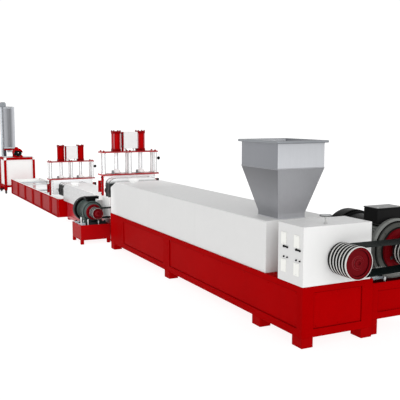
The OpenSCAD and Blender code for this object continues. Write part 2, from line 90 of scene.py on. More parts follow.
def prism(pts, h, b=2.0, seg=2):
    """Outline in x and y, raised along z, with rolled edges."""
    key = ("prism", tuple(map(tuple, pts)), h, b, seg)
    if key not in _cache:
        bm = bmesh.new()
        lo = [bm.verts.new((x, y, 0)) for x, y in pts]
        hi = [bm.verts.new((x, y, h)) for x, y in pts]
        bm.faces.new(lo[::-1])
        bm.faces.new(hi)
        n = len(pts)
        for i in range(n):
            bm.faces.new((lo[i], lo[(i + 1) % n], hi[(i + 1) % n], hi[i]))
        bmesh.ops.recalc_face_normals(bm, faces=bm.faces[:])
        fl = bevel_bm(bm, b, seg, 20)
        _cache[key] = from_bm(bm, fl)
        bm.free()
    return _cache[key]


def roundp(pts, rad, seg=3, closed=False):
    """Round the corners of an outline; returns points and a flag for each segment."""
    n = len(pts)
    out, flag = [], []
    for i in range(n):
        b = np.array(pts[i], float)
        if not closed and i in (0, n - 1):
            out.append(tuple(b)); flag.append(0.0)
            continue
        a, c = np.array(pts[i - 1], float), np.array(pts[(i + 1) % n], float)
        u, v = a - b, c - b
        lu, lv = np.linalg.norm(u), np.linalg.norm(v)
        r = rad[i] if isinstance(rad, (list, tuple)) else rad
        cosv = float(np.clip(np.dot(u, v) / (lu * lv), -1, 1))
        ang = math.acos(cosv)
        if ang > math.radians(172) or r <= 0:
            out.append(tuple(b)); flag.append(0.0)
            continue
        t = min(r / math.tan(ang / 2), 0.46 * lu, 0.46 * lv)
        s, e = b + u / lu * t, b + v / lv * t
        for k in range(seg + 1):
            w = k / seg
            q = (1 - w) ** 2 * s + 2 * w * (1 - w) * b + w * w * e
            out.append(tuple(q)); flag.append(1.0 if k < seg else 0.0)
    return out, flag


def lathe(pts, n=48, rad=0.0, seg=2, mats=None):
    """Turned shape about z from an outline of (radius, height); mats gives a material per outline segment."""
    key = ("lathe", tuple(map(tuple, pts)), n, str(rad), seg, str(mats))
    if key in _cache:
        return _cache[key]
    if rad:
        rp, fl = roundp(pts, rad, seg)
        if mats is not None:
            # carry each segment's material through the rounding
            m2 = []
            for i in range(len(rp) - 1):
                mid = (np.array(rp[i]) + np.array(rp[i + 1])) / 2
                best = min(range(len(pts) - 1), key=lambda j: _segd(mid, pts[j], pts[j + 1]))
                m2.append(mats[best])
            mats = m2
    else:
        rp, fl = [tuple(map(float, p)) for p in pts], [0.0] * len(pts)
    V, F, E, M = [], [], [], []
    rings = []
    for r, z in rp:
        if r < 1e-6:
            rings.append([len(V)]); V.append((0, 0, z))
        else:
            rings.append(list(range(len(V), len(V) + n)))
            for k in range(n):
                a = 2 * math.pi * k / n
                V.append((r * math.cos(a), r * math.sin(a), z))
    for j in range(len(rp) - 1):
        A, B = rings[j], rings[j + 1]
        m = mats[j] if mats is not None else 0
        for k in range(n):
            k2 = (k + 1) % n
            if len(A) == 1 and len(B) == 1:
                continue
            if len(A) == 1:
                F.append((A[0], B[k2], B[k]))
            elif len(B) == 1:
                F.append((A[k], A[k2], B[0]))
            else:
                F.append((A[k], A[k2], B[k2], B[k]))
            E.append(fl[j]); M.append(m)
    # an outline that starts or ends off the axis closes on itself
    if len(rings[0]) > 1 and len(rings[-1]) > 1:
        A, B = rings[-1], rings[0]
        for k in range(n):
            k2 = (k + 1) % n
            F.append((A[k], A[k2], B[k2], B[k])); E.append(0.0)
            M.append(mats[-1] if mats is not None else 0)
    _cache[key] = (np.array(V, float), F, E, M)
    return _cache[key]


def _segd(p, a, b):
    a, b = np.array(a, float), np.array(b, float)
    ab = b - a
    t = float(np.clip(np.dot(p - a, ab) / max(1e-9, np.dot(ab, ab)), 0, 1))
    return float(np.linalg.norm(p - a - t * ab))


def cyl(r, h, b=1.5, n=32, seg=2):
    return lathe([(0, 0), (r, 0), (r, h), (0, h)], n, b, seg)


def ring(ro, ri, h, b=1.0, n=48):
    rp, fl = roundp([(ri, 0), (ro, 0), (ro, h), (ri, h)], b, 2, closed=True)
    V, F, E = [], [], []
    m = len(rp)
    for r, z in rp:
        for k in range(n):
            a = 2 * math.pi * k / n
            V.append((r * math.cos(a), r * math.sin(a), z))
    for j in range(m):
        j2 = (j + 1) % m
        for k in range(n):
            k2 = (k + 1) % n
            F.append((j * n + k, j * n + k2, j2 * n + k2, j2 * n + k)); E.append(fl[j])
    return np.array(V, float), F, E, [0] * len(F)


def hexnut(af, h):
    key = ("hex", af, h)
    if key not in _cache:
        rc = af / math.sqrt(3)
        V, F, E = [], [], []
        levels = [(0.93, 0.0), (1.0, 0.09 * h), (1.0, 0.84 * h), (0.88, h)]
        for s, z in levels:
            for k in range(6):
                a = math.pi / 3 * k
                V.append((rc * s * math.cos(a), rc * s * math.sin(a), z))
        for j in range(3):
            for k in range(6):
                k2 = (k + 1) % 6
                F.append((j * 6 + k, j * 6 + k2, (j + 1) * 6 + k2, (j + 1) * 6 + k)); E.append(0.0 if j == 1 else 1.0)
        F.append(tuple(range(5, -1, -1))); E.append(0.0)
        F.append(tuple(range(18, 24))); E.append(0.0)
        _cache[key] = (np.array(V, float), F, E, [0] * len(F))
    return _cache[key]


def tube(path, r, n=10):
    """Round bar along a path of points."""
    P = [np.array(p, float) for p in path]
    V, F = [], []
    t0 = P[1] - P[0]
    t0 /= np.linalg.norm(t0)
    ref = np.array([0, 0, 1.0]) if abs(t0[2]) < 0.9 else np.array([1.0, 0, 0])
    u = np.cross(t0, ref); u /= np.linalg.norm(u)
    for i, p in enumerate(P):
        if i == 0:
            t = P[1] - P[0]
        elif i == len(P) - 1:
            t = P[-1] - P[-2]
        else:
            a, b = P[i] - P[i - 1], P[i + 1] - P[i]
            t = a / np.linalg.norm(a) + b / np.linalg.norm(b)
        t = t / np.linalg.norm(t)
        u = u - t * np.dot(u, t); u /= np.linalg.norm(u)
        w = np.cross(t, u)
        for k in range(n):
            a = 2 * math.pi * k / n
            V.append(p + r * (math.cos(a) * u + math.sin(a) * w))
    m = len(P)
    for j in range(m - 1):
        for k in range(n):
            k2 = (k + 1) % n
            F.append((j * n + k, j * n + k2, (j + 1) * n + k2, (j + 1) * n + k))
    F.append(tuple(range(n - 1, -1, -1)))
    F.append(tuple((m - 1) * n + k for k in range(n)))
    return np.array(V, float), F, [0.0] * len(F), [0] * len(F)


def rect_loop(x0, x1, y0, y1, c, k=4):
    """Rounded rectangle, counter-clockwise."""
    c = max(c, 0.01)
    out = []
    for cx, cy, a0 in ((x1 - c, y0 + c, -90), (x1 - c, y1 - c, 0), (x0 + c, y1 - c, 90), (x0 + c, y0 + c, 180)):
        for i in range(k + 1):
            a = math.radians(a0 + 90 * i / k)
            out.append((cx + c * math.cos(a), cy + c * math.sin(a)))
    return out


def loft(rects, k=4, closed=True):
    """Skin through level rounded rectangles (x0, x1, y0, y1, corner, z), closed on itself or capped."""
    V, F = [], []
    n = 4 * (k + 1)
    for x0, x1, y0, y1, c, z in rects:
        V += [(x, y, z) for x, y in rect_loop(x0, x1, y0, y1, c, k)]
    m = len(rects)
    for j in range(m if closed else m - 1):
        j2 = (j + 1) % m
        for i in range(n):
            i2 = (i + 1) % n
            F.append((j * n + i, j * n + i2, j2 * n + i2, j2 * n + i))
    if not closed:
        F.append(tuple(range(n - 1, -1, -1)))
        F.append(tuple((m - 1) * n + i for i in range(n)))
    return np.array(V, float), F, [0.0] * len(F), [0] * len(F)


def sweep_loop(path, prof):
    """Closed cross-section carried round a closed path in the y-z plane; prof is (x, outward)."""
    P = np.array(path, float)
    n, m = len(P), len(prof)
    V, F = [], []
    nxt, prv = np.roll(P, -1, 0), np.roll(P, 1, 0)
    T = nxt - prv
    T /= np.linalg.norm(T, axis=1)[:, None]
    N = np.stack([T[:, 1], -T[:, 0]], 1)
    for i in range(n):
        for x, o in prof:
            V.append((x, P[i, 0] + N[i, 0] * o, P[i, 1] + N[i, 1] * o))
    for i in range(n):
        i2 = (i + 1) % n
        for j in range(m):
            j2 = (j + 1) % m
            F.append((i * m + j, i * m + j2, i2 * m + j2, i2 * m + j))
    return np.array(V, float), F, [0.0] * len(F), [0] * len(F)


def cad(node, b=2.0, seg=2, limit=25.0):
    """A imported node's shape with its edges rolled."""
    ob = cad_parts[node]
    bm = bmesh.new()
    bm.from_mesh(ob.data)
    bm.transform(ob.matrix_world)
    for v in bm.verts:
        v.co = Vector(to_mm(v.co[:]))
    bmesh.ops.remove_doubles(bm, verts=bm.verts[:], dist=0.02)
    bmesh.ops.dissolve_limit(bm, angle_limit=math.radians(0.6), verts=bm.verts[:], edges=bm.edges[:])
    bmesh.ops.recalc_face_normals(bm, faces=bm.faces[:])
    fl = bevel_bm(bm, b, seg, limit)
    s = from_bm(bm, fl)
    bm.free()
    return s


# ------------------------------------------------------------------ placing
def rot_to(d):
    """Rotation that takes +z to the direction d."""
    d = np.array(d, float); d /= np.linalg.norm(d)
    q = Vector((0, 0, 1)).rotation_difference(Vector(d)) if d[2] > -0.999999 else None
    if q is None:
        return np.diag([1.0, -1.0, -1.0])
    return np.array(q.to_matrix())


def rz(deg):
    c, s = math.cos(math.radians(deg)), math.sin(math.radians(deg))
    return np.array([[c, -s, 0], [s, c, 0], [0, 0, 1.0]])


def rx(deg):
    c, s = math.cos(math.radians(deg)), math.sin(math.radians(deg))
    return np.array([[1.0, 0, 0], [0, c, -s], [0, s, c]])


XD, YD, ZD = (1, 0, 0), (0, 1, 0), (0, 0, 1)
RX = np.array([[0, 0, 1.0], [0, 1.0, 0], [-1.0, 0, 0]])      # z to +x
RXN = np.array([[0, 0, -1.0], [0, 1.0, 0], [1.0, 0, 0]])     # z to -x
RY = np.array([[1.0, 0, 0], [0, 0, 1.0], [0, -1.0, 0]])      # z to +y
RYN = np.array([[1.0, 0, 0], [0, 0, -1.0], [0, 1.0, 0]])     # z to -y


class Kit:
    """Collects shapes into one mesh."""

    def __init__(self):
        self.v, self.f, self.e, self.m, self.n = [], [], [], [], 0

    def add(self, shape, at=(0, 0, 0), R=None, mat=0):
        V, F, E, M = shape
        if R is not None:
            V = V @ np.asarray(R).T
        V = V + np.asarray(at, float)
        self.v.append(V)
        n = self.n
        self.f += [tuple(i + n for i in q) for q in F]
        self.e += E
        self.m += [mat + q for q in M]
        self.n += len(V)
        return self

    def box(self, x0, x1, y0, y1, z0, z1, b=2.0, mat=0, seg=2):
        return self.add(rbox(x1 - x0, y1 - y0, z1 - z0, b, seg), ((x0 + x1) / 2, (y0 + y1) / 2, (z0 + z1) / 2), None, mat)

    def cyl(self, at, d, r, h, b=1.5, mat=0, n=32):
        return self.add(cyl(r, h, b, n), at, rot_to(d), mat)

    def bolt(self, at, d, af=19, h=None, mat=0, washer=True, spin=0.0, stud=0.0):
        """Hex head on a washer, standing on the point at, pointing along d."""
        h = h or af * 0.62
        R = rot_to(d)
        at = np.array(at, float)
        u = np.array(d, float) / np.linalg.norm(d)
        w = 0.0
        if washer:
            w = af * 0.13
            self.add(cyl(af * 0.95, w, 0.4, 20, 1), at, R, mat)
        self.add(hexnut(af, h), at + u * w, R @ rz(spin), mat)
        if stud:
            self.add(cyl(af * 0.34, stud, 1.0, 14, 1), at + u * (w + h - 0.2), R, mat)
        return self

    def screw(self, at, d, r=6.0, h=3.2, mat=0):
        """Domed screw head with a socket."""
        self.add(lathe([(0, 0), (r, 0), (r * 0.92, h * 0.55), (r * 0.62, h), (r * 0.36, h), (r * 0.3, h * 0.45), (0, h * 0.45)], 14), at, rot_to(d), mat)
        return self


def tint(kit, rule):
    """Set each face's finish with rule(centre, normal), which gives an index or None."""
    V = np.concatenate(kit.v)
    for i, q in enumerate(kit.f):
        P = V[list(q)]
        nv = np.cross(P[1] - P[0], P[2] - P[0])
        ln = np.linalg.norm(nv)
        r = rule(P.mean(0), nv / ln if ln > 1e-9 else nv)
        if r is not None:
            kit.m[i] = r
    return kit


PIECES = {}


def piece(name, kit, mats, body=LINE, replaces=(), smooth=38.0):
    V = to_row(np.concatenate(kit.v))
    me = bpy.data.meshes.new(name)
    me.from_pydata(V.tolist(), [], kit.f)
    for m in mats:
        me.materials.append(m)
    me.polygons.foreach_set("material_index", kit.m)
    at = me.attributes.new("edge", "FLOAT", "FACE")
    at.data.foreach_set("value", kit.e)
    bm = bmesh.new()
    bm.from_mesh(me)
    bmesh.ops.recalc_face_normals(bm, faces=bm.faces[:])
    lay = bm.faces.layers.float["edge"]
    lim = math.radians(smooth)
    for f in bm.faces:
        f.smooth = True
    for e in bm.edges:
        if len(e.link_faces) == 2:
            a, b = e.link_faces
            ang = e.calc_face_angle(0)
            if ang > lim or (abs(a[lay] - b[lay]) > 0.5 and ang > 0.02):
                e.smooth = False
            else:
                e.smooth = True
    bm.to_mesh(me)
    bm.free()
    ob = bpy.data.objects.new(name, me)
    bpy.context.scene.collection.objects.link(ob)
    if replaces:
        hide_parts(*replaces)
    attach(ob, body)
    PIECES[name] = ob
    return ob


# ------------------------------------------------------------------ materials
def lin(r, g, b):
    """Linear colour from 8-bit display values."""
    def c(v):
        v /= 255.0
        return v / 12.92 if v <= 0.04045 else ((v + 0.055) / 1.055) ** 2.4
    return (c(r), c(g), c(b), 1.0)


def mul(c, k):
    return (min(1, c[0] * k), min(1, c[1] * k), min(1, c[2] * k), 1.0)


class Mat:
    def __init__(self, name, rough=0.4, metal=0.0, spec=0.5, coat=0.0, coat_rough=0.1):
        self.m = bpy.data.materials.new(name)
        self.m.use_nodes = True
        self.t = self.m.node_tree
        self.t.nodes.clear()
        self.out = self.t.nodes.new("ShaderNodeOutputMaterial")
        self.b = self.t.nodes.new("ShaderNodeBsdfPrincipled")
        self.t.links.new(self.b.outputs["BSDF"], self.out.inputs["Surface"])
        self.b.inputs["Roughness"].default_value = rough
        self.b.inputs["Metallic"].default_value = metal
        self.b.inputs["Specular IOR Level"].default_value = spec
        self.b.inputs["Coat Weight"].default_value = coat
        self.b.inputs["Coat Roughness"].default_value = coat_rough
        self.tc = self.t.nodes.new("ShaderNodeTexCoord")

    def new(self, kind, **kw):
        n = self.t.nodes.new(kind)
        for k, v in kw.items():
            setattr(n, k, v)
        return n

    def link(self, a, b):
        self.t.links.new(a, b)

    def coords(self, stretch=(1, 1, 1)):
        if stretch == (1, 1, 1):
            return self.tc.outputs["Object"]
        mp = self.new("ShaderNodeMapping")
        mp.inputs["Scale"].default_value = stretch
        self.link(self.tc.outputs["Object"], mp.inputs["Vector"])
        return mp.outputs["Vector"]

    def noise(self, scale, detail=3.0, rough=0.55, stretch=(1, 1, 1), distort=0.0):
        n = self.new("ShaderNodeTexNoise")
        n.inputs["Scale"].default_value = scale
        n.inputs["Detail"].default_value = detail
        n.inputs["Roughness"].default_value = rough
        n.inputs["Distortion"].default_value = distort
        self.link(self.coords(stretch), n.inputs["Vector"])
        return n.outputs["Fac"]

    def voronoi(self, scale, stretch=(1, 1, 1), feature="F1", out="Distance"):
        n = self.new("ShaderNodeTexVoronoi", feature=feature)
        n.inputs["Scale"].default_value = scale
        self.link(self.coords(stretch), n.inputs["Vector"])
        return n.outputs[out]

    def wave(self, scale, direction="X", profile="SIN", stretch=(1, 1, 1), distort=0.0):
        n = self.new("ShaderNodeTexWave", bands_direction=direction, wave_profile=profile)
        n.inputs["Scale"].default_value = scale
        n.inputs["Distortion"].default_value = distort
        self.link(self.coords(stretch), n.inputs["Vector"])
        return n.outputs["Fac"]

    def remap(self, src, a, b, lo, hi):
        n = self.new("ShaderNodeMapRange")
        n.inputs["From Min"].default_value = a
        n.inputs["From Max"].default_value = b
        n.inputs["To Min"].default_value = lo
        n.inputs["To Max"].default_value = hi
        self.link(src, n.inputs["Value"])
        return n.outputs["Result"]

    def math(self, op, a, b):
        n = self.new("ShaderNodeMath", operation=op)
        for i, v in enumerate((a, b)):
            if isinstance(v, (int, float)):
                n.inputs[i].default_value = v
            else:
                self.link(v, n.inputs[i])
        return n.outputs[0]

    def mix(self, fac, a, b):
        n = self.new("ShaderNodeMix", data_type="RGBA")
        if isinstance(fac, (int, float)):
            n.inputs[0].default_value = fac
        else:
            self.link(fac, n.inputs[0])
        for i, v in ((6, a), (7, b)):
            if isinstance(v, tuple):
                n.inputs[i].default_value = v
            else:
                self.link(v, n.inputs[i])
        return n.outputs[2]

    def edge(self):
        n = self.new("ShaderNodeAttribute", attribute_type="GEOMETRY", attribute_name="edge")
        return n.outputs["Fac"]

    def height(self):
        n = self.new("ShaderNodeSeparateXYZ")
        self.link(self.tc.outputs["Object"], n.inputs[0])
        return n.outputs["Z"]

    def color(self, c):
        self.link(c, self.b.inputs["Base Color"])

    def rough(self, r):
        self.link(r, self.b.inputs["Roughness"])

    def bump(self, src, strength, dist, prev=None):
        n = self.new("ShaderNodeBump")
        n.inputs["Strength"].default_value = strength
        n.inputs["Distance"].default_value = dist
        self.link(src, n.inputs["Height"])
        if prev is not None:
            self.link(prev, n.inputs["Normal"])
        return n.outputs["Normal"]

    def normal(self, n):
        self.link(n, self.b.inputs["Normal"])


def paint(name, c, rough=0.4, spec=0.5, var=0.06, wear=0.5, wear_c=None, dust=0.1, dust_c=None, peel=0.05, wavy=0.04,
          coat=0.0, fade=None):
    """Sprayed enamel: soft mottling, orange peel, worn edges, a little dust low down."""
    m = Mat(name, rough, 0.0, spec, coat, 0.08)
    big = m.noise(1.4, 4, 0.6)
    mid = m.noise(17, 4, 0.6)
    fine = m.noise(420, 2, 0.5)
    f = m.math("ADD", m.math("MULTIPLY", big, 0.65), m.math("MULTIPLY", mid, 0.35))
    col = m.mix(m.remap(f, 0.32, 0.68, 0, 1), mul(c, 1 - var), mul(c, 1 + var))
    if fade:
        # paler toward one end of the line
        sx = m.new("ShaderNodeSeparateXYZ")
        m.link(m.tc.outputs["Object"], sx.inputs[0])
        col = m.mix(m.remap(sx.outputs["X"], fade[0], fade[1], 1, 0), col, fade[2])
    # scuffs: thin streaks of slightly duller paint
    sc = m.noise(46, 6, 0.72, (1, 1, 3.5), 0.6)
    col = m.mix(m.remap(sc, 0.63, 0.74, 0, 0.22), col, mul(c, 0.78))
    if dust:
        low = m.remap(m.height(), 0.0, 0.42, 1, 0)
        grit = m.remap(m.noise(9, 6, 0.65), 0.38, 0.72, 0, dust)
        col = m.mix(m.math("MULTIPLY", low, grit), col, dust_c or (0.36, 0.33, 0.30, 1))
    if wear:
        chip = m.remap(m.noise(75, 5, 0.68), 0.54, 0.62, 0, wear)
        col = m.mix(m.math("MULTIPLY", m.edge(), chip), col, wear_c or mul(c, 0.5))
    m.color(col)
    r = m.remap(m.noise(31, 4, 0.6), 0.3, 0.7, rough - 0.07, rough + 0.09)
    m.rough(r)
    n = m.bump(fine, peel, 0.0006)
    n = m.bump(m.noise(3.2, 2, 0.5), wavy, 0.012, n)
    m.normal(n)
    return m.m


def steel(name, c, rough=0.38, metal=0.85, brush=(1, 1, 1), var=0.08, stain=0.12, spec=0.5, wear=0.3, tone=None, bands=0.0):
    """Sheet or bar steel: brushing along one direction, faint cloudy stains, bright edges."""
    m = Mat(name, rough, metal, spec)
    br = m.noise(95, 5, 0.7, brush)
    cl = m.noise(2.6, 5, 0.62)
    col = m.mix(m.remap(br, 0.3, 0.7, 0, 1), mul(c, 1 - var), mul(c, 1 + var))
    col = m.mix(m.remap(cl, 0.48, 0.75, 0, stain), col, mul(c, 0.62))
    if bands:
        # painted reflection: a dark upright band about one plane, brighter either side, and a darker stretch toward -y
        sy = m.new("ShaderNodeSeparateXYZ")
        m.link(m.tc.outputs["Object"], sy.inputs[0])
        off = m.math("ABSOLUTE", m.math("SUBTRACT", sy.outputs["Y"], bands), 0.0)
        wob = m.math("ADD", off, m.math("MULTIPLY", m.noise(14, 3, 0.5, (1, 1, 0.02)), 0.03))
        col = m.mix(m.remap(wob, 0.04, 0.12, 0, 1), mul(c, 0.30), col)
        col = m.mix(m.remap(sy.outputs["Y"], bands - 0.02, bands - 0.14, 0, 1), col, mul(c, 0.66))
    if tone:
        # painted shade: the sheet's colour is scaled by a factor between two heights, darker higher up
        up = m.mix(m.remap(br, 0.3, 0.7, 0, 1), mul(c, tone[2] * (1 - var)), mul(c, tone[2] * (1 + var)))
        col = m.mix(m.remap(m.height(), tone[0], tone[1], 0.0, 1.0), col, up)
    sp = m.noise(120, 4, 0.6)
    col = m.mix(m.remap(sp, 0.66, 0.76, 0, 0.16), col, mul(c, 0.7))
    if wear:
        col = m.mix(m.math("MULTIPLY", m.edge(), wear), col, mul(c, 1.35))
    m.color(col)
    m.rough(m.math("ADD", m.remap(br, 0.25, 0.75, rough - 0.09, rough + 0.09), m.remap(cl, 0.3, 0.75, 0, 0.08)))
    n = m.bump(br, 0.07, 0.0006)
    n = m.bump(m.noise(2.2, 2, 0.5), 0.05, 0.015, n)
    m.normal(n)
    return m.m


def moulded(name, c, rough=0.45, spec=0.4, grain=260, depth=0.12, var=0.15, dust=0.08):
    """Moulded plastic, rubber or cast iron under paint: close grain, dull patches, dust in the low spots."""
    m = Mat(name, rough, 0.0, spec)
    g = m.noise(grain, 3, 0.6)
    b = m.noise(6, 4, 0.6)
    col = m.mix(m.remap(b, 0.3, 0.7, 0, 1), mul(c, 1 - var), mul(c, 1 + var))
    col = m.mix(m.remap(g, 0.56, 0.75, 0, dust), col, (0.30, 0.29, 0.27, 1))
    col = m.mix(m.math("MULTIPLY", m.edge(), 0.35), col, mul(c, 1.9))
    m.color(col)
    m.rough(m.remap(m.noise(40, 3, 0.6), 0.3, 0.7, rough - 0.08, rough + 0.1))
    m.normal(m.bump(g, depth, 0.0009))
    return m.m


class M:
    pass


RED = lin(157, 0, 2)
GRIME = mul(RED, 0.55)
M.red = paint("red_enamel", RED, 0.44, 0.004, 0.05, 0.45, mul(RED, 0.42), 0.30, GRIME)
M.redp = paint("red_panel_enamel", lin(161, 0, 2), 0.36, 0.005, 0.06, 0.3, mul(RED, 0.45), 0.30, GRIME, wavy=0.10)
# the second bed's red: glossy, and paler and pinker than the main bed's, standing in for light and the white
# reflection on it: painted light and painted reflection
M.redg = paint("red_gloss_enamel", lin(186, 34, 45), 0.30, 0.5, 0.06, 0.4, mul(RED, 0.45), 0.25, GRIME, peel=0.006, wavy=0.08)
M.redb = paint("red_base_enamel", lin(156, 5, 9), 0.34, 0.023, 0.06, 0.4, mul(RED, 0.45), 0.25, GRIME, wavy=0.08)
# a dark red standing in for the shade inside the motor bases' trays: painted shade
M.redk = paint("red_tray_enamel", lin(66, 3, 7), 0.52, 0.02, 0.10, 0.4, mul(RED, 0.3), 0.20, GRIME)
M.redt = paint("red_trough_enamel", lin(156, 5, 12), 0.34, 0.026, 0.07, 0.3, mul(RED, 0.45), 0.20, GRIME, wavy=0.08)
M.redd = paint("dark_red_enamel", lin(136, 2, 6), 0.42, 0.03, 0.07, 0.5, mul(RED, 0.35), 0.20, GRIME)
M.rede = paint("red_end_enamel", lin(172, 0, 2), 0.44, 0.006, 0.05, 0.45, mul(RED, 0.42), 0.20, GRIME)
# a darker red for thin strips along recess edges: painted shadow lines
M.redl = paint("red_seal_bead", lin(128, 0, 2), 0.5, 0.004, 0.06, 0.2, mul(RED, 0.5), 0.0)
M.redf = paint("red_foot_enamel", lin(156, 1, 3), 0.46, 0.008, 0.07, 0.5, mul(RED, 0.35), 0.30, GRIME)
M.redc = paint("red_cylinder_enamel", lin(173, 1, 4), 0.32, 0.02, 0.05, 0.4, mul(RED, 0.5), 0.0)
M.redc2 = paint("red_cylinder_enamel_low", lin(164, 1, 3), 0.38, 0.006, 0.05, 0.4, mul(RED, 0.5), 0.0)
M.redq = paint("red_plate_enamel", lin(158, 6, 16), 0.26, 0.42, 0.07, 0.4, mul(RED, 0.4), 0.0, peel=0.006)
M.redr = paint("tie_rod_enamel", lin(186, 100, 106), 0.30, 0.20, 0.06, 0.3, mul(RED, 0.5), 0.0)
M.maroon = paint("maroon_enamel", lin(100, 5, 13), 0.36, 0.035, 0.09, 0.4, lin(60, 10, 14), 0.05)
M.maroond = paint("maroon_shade_enamel", lin(58, 2, 7), 0.42, 0.02, 0.09, 0.3, lin(40, 6, 9), 0.05)
M.maroonl = paint("maroon_edge_enamel", lin(132, 34, 40), 0.34, 0.10, 0.09, 0.3, lin(90, 30, 34), 0.05)
M.white = paint("white_enamel", lin(219, 219, 218), 0.42, 0.12, 0.018, 0.25, lin(150, 150, 150), 0.06, wavy=0.06)
M.whiteg = paint("white_gloss_enamel", lin(198, 198, 198), 0.22, 0.36, 0.018, 0.25, lin(150, 150, 150), 0.05, peel=0.008, wavy=0.06)
M.white2 = paint("white_case_enamel", lin(253, 253, 252), 0.36, 0.30, 0.012, 0.25, lin(150, 150, 150), 0.05, wavy=0.06)
M.whitef = paint("white_hood_top_enamel", lin(219, 219, 218), 0.42, 0.12, 0.018, 0.25, lin(150, 150, 150), 0.06, wavy=0.06, fade=(2.15, 3.05, lin(250, 250, 249)))
M.whitee = paint("white_case_end_enamel", lin(227, 227, 226), 0.42, 0.12, 0.018, 0.25, lin(150, 150, 150), 0.06, wavy=0.06)
M.whiteb = paint("white_box_enamel", lin(224, 223, 222), 0.38, 0.10, 0.02, 0.3, lin(150, 150, 150), 0.0)
M.whiteh = paint("white_hatch_enamel", lin(240, 240, 235), 0.34, 0.15, 0.015, 0.35, lin(160, 160, 156), 0.0)
M.whitep = paint("white_panel_enamel", lin(238, 238, 237), 0.40, 0.12, 0.02, 0.3, lin(160, 160, 160), 0.06)
M.cube = moulded("white_corner_plastic", lin(238, 238, 236), 0.45, 0.4, 300, 0.06, 0.03, 0.05)
M.greyp = paint("light_grey_enamel", lin(244, 245, 246), 0.40, 0.25, 0.04, 0.4, lin(150, 150, 152), 0.04)
M.liner = paint("pale_liner_enamel", lin(250, 252, 250), 0.34, 0.30, 0.02, 0.3, lin(170, 176, 172), 0.0)
# the hopper steels darken above the given heights: painted shade
M.steelA = steel("hopper_band_end_steel", lin(188, 190, 194), 0.36, 0.35, (1, 1, 0.05), 0.03, 0.06, tone=(1.46, 1.61, 0.92))
M.steelAs = steel("hopper_band_side_steel", lin(130, 132, 137), 0.36, 0.35, (1, 1, 0.05), 0.04, 0.08)
M.steelR = steel("hopper_rim_steel", lin(136, 139, 143), 0.36, 0.45, (1, 1, 1), 0.04, 0.10)
M.steelB = steel("hopper_cone_end_steel", lin(180, 181, 185), 0.36, 0.45, (1, 1, 0.05), 0.04, 0.12, tone=(1.08, 1.38, 0.76))
M.steelBs = steel("hopper_cone_side_steel", lin(138, 139, 143), 0.36, 0.45, (1, 1, 0.05), 0.04, 0.14, tone=(1.02, 1.38, 0.52))
# the silo's dark upright band and darker side toward -y are painted reflection
M.silo = steel("silo_steel", lin(186, 188, 193), 0.30, 0.70, (1, 1, 0.04), 0.05, 0.10, bands=-0.262)
M.pipe = steel("pipe_steel", lin(198, 202, 206), 0.34, 0.6, (1, 1, 0.05), 0.06, 0.10)
M.elbow = steel("pipe_elbow_steel", lin(128, 132, 136), 0.38, 0.6, (1, 1, 0.05), 0.08, 0.16)
M.leg = paint("stand_leg_enamel", lin(52, 56, 66), 0.42, 0.2, 0.08, 0.5, lin(96, 98, 102), 0.15)
M.rim = paint("pulley_rim_enamel", lin(214, 214, 210), 0.36, 0.3, 0.05, 0.6, lin(120, 118, 112), 0.0)
M.rim2 = moulded("pulley_side_iron", lin(152, 152, 150), 0.40, 0.25, 200, 0.10, 0.10, 0.05)
M.groove = moulded("pulley_groove_iron", lin(20, 20, 21), 0.55, 0.2, 220, 0.10, 0.2, 0.03)
M.motor1 = moulded("motor_casting_grey", lin(82, 83, 80), 0.42, 0.3, 150, 0.22, 0.12, 0.06)
M.bell1 = moulded("motor_bell_grey", lin(64, 65, 61), 0.38, 0.25, 150, 0.18, 0.10, 0.05)
M.flange1 = moulded("motor_flange_grey", lin(116, 118, 115), 0.42, 0.25, 150, 0.18, 0.10, 0.06)
M.foot1 = moulded("motor_foot_grey", lin(150, 152, 152), 0.42, 0.25, 150, 0.18, 0.10, 0.06)
M.motor2 = moulded("motor_casting_green_grey", lin(48, 62, 58), 0.42, 0.3, 150, 0.22, 0.12, 0.06)
M.bell2 = moulded("motor_bell_green_grey", lin(55, 67, 65), 0.38, 0.3, 150, 0.18, 0.10, 0.05)
M.black = moulded("black_enamel", lin(10, 11, 11), 0.40, 0.06, 190, 0.12, 0.18, 0.01)
M.tbox = moulded("terminal_box_enamel", lin(16, 16, 16), 0.40, 0.08, 190, 0.12, 0.18, 0.01)
M.lid = moulded("grey_lid_enamel", lin(120, 121, 120), 0.40, 0.3, 190, 0.12, 0.10, 0.05)
M.switch = moulded("grey_switch_plastic", lin(124, 126, 128), 0.45, 0.2, 300, 0.08, 0.1, 0.04)
M.blackpl = moulded("black_plastic", lin(8, 8, 9), 0.42, 0.05, 320, 0.10, 0.15, 0.03)
M.tyre = moulded("caster_tyre", lin(40, 41, 43), 0.62, 0.3, 180, 0.15, 0.15, 0.12)
M.zinc = steel("zinc_bolts", lin(226, 228, 228), 0.34, 0.5, (1, 1, 1), 0.05, 0.1)
M.beamend = moulded("beam_end_cap", lin(30, 6, 10), 0.45, 0.2, 190, 0.12, 0.18, 0.04)
M.rail = steel("slide_rail_steel", lin(214, 228, 236), 0.40, 0.5, (1, 1, 1), 0.08, 0.2)
M.railk = moulded("slide_rail_iron", lin(46, 50, 52), 0.50, 0.2, 190, 0.12, 0.18, 0.04)
M.stem = paint("breather_stem_enamel", lin(186, 187, 186), 0.40, 0.02, 0.04, 0.3, lin(120, 120, 120), 0.1)
M.capst = steel("breather_cap_steel", lin(104, 106, 106), 0.40, 0.5, (1, 1, 1), 0.06, 0.2)
M.dark = steel("dark_nuts", lin(74, 66, 68), 0.45, 0.7, (1, 1, 1), 0.12, 0.3)
M.foot = paint("rod_end_enamel", lin(246, 246, 245), 0.32, 0.30, 0.02, 0.2, lin(180, 180, 180), 0.0)
M.lagtop = steel("lagging_cover_steel", lin(247, 249, 249), 0.40, 0.4, (1, 1, 1), 0.05, 0.1)


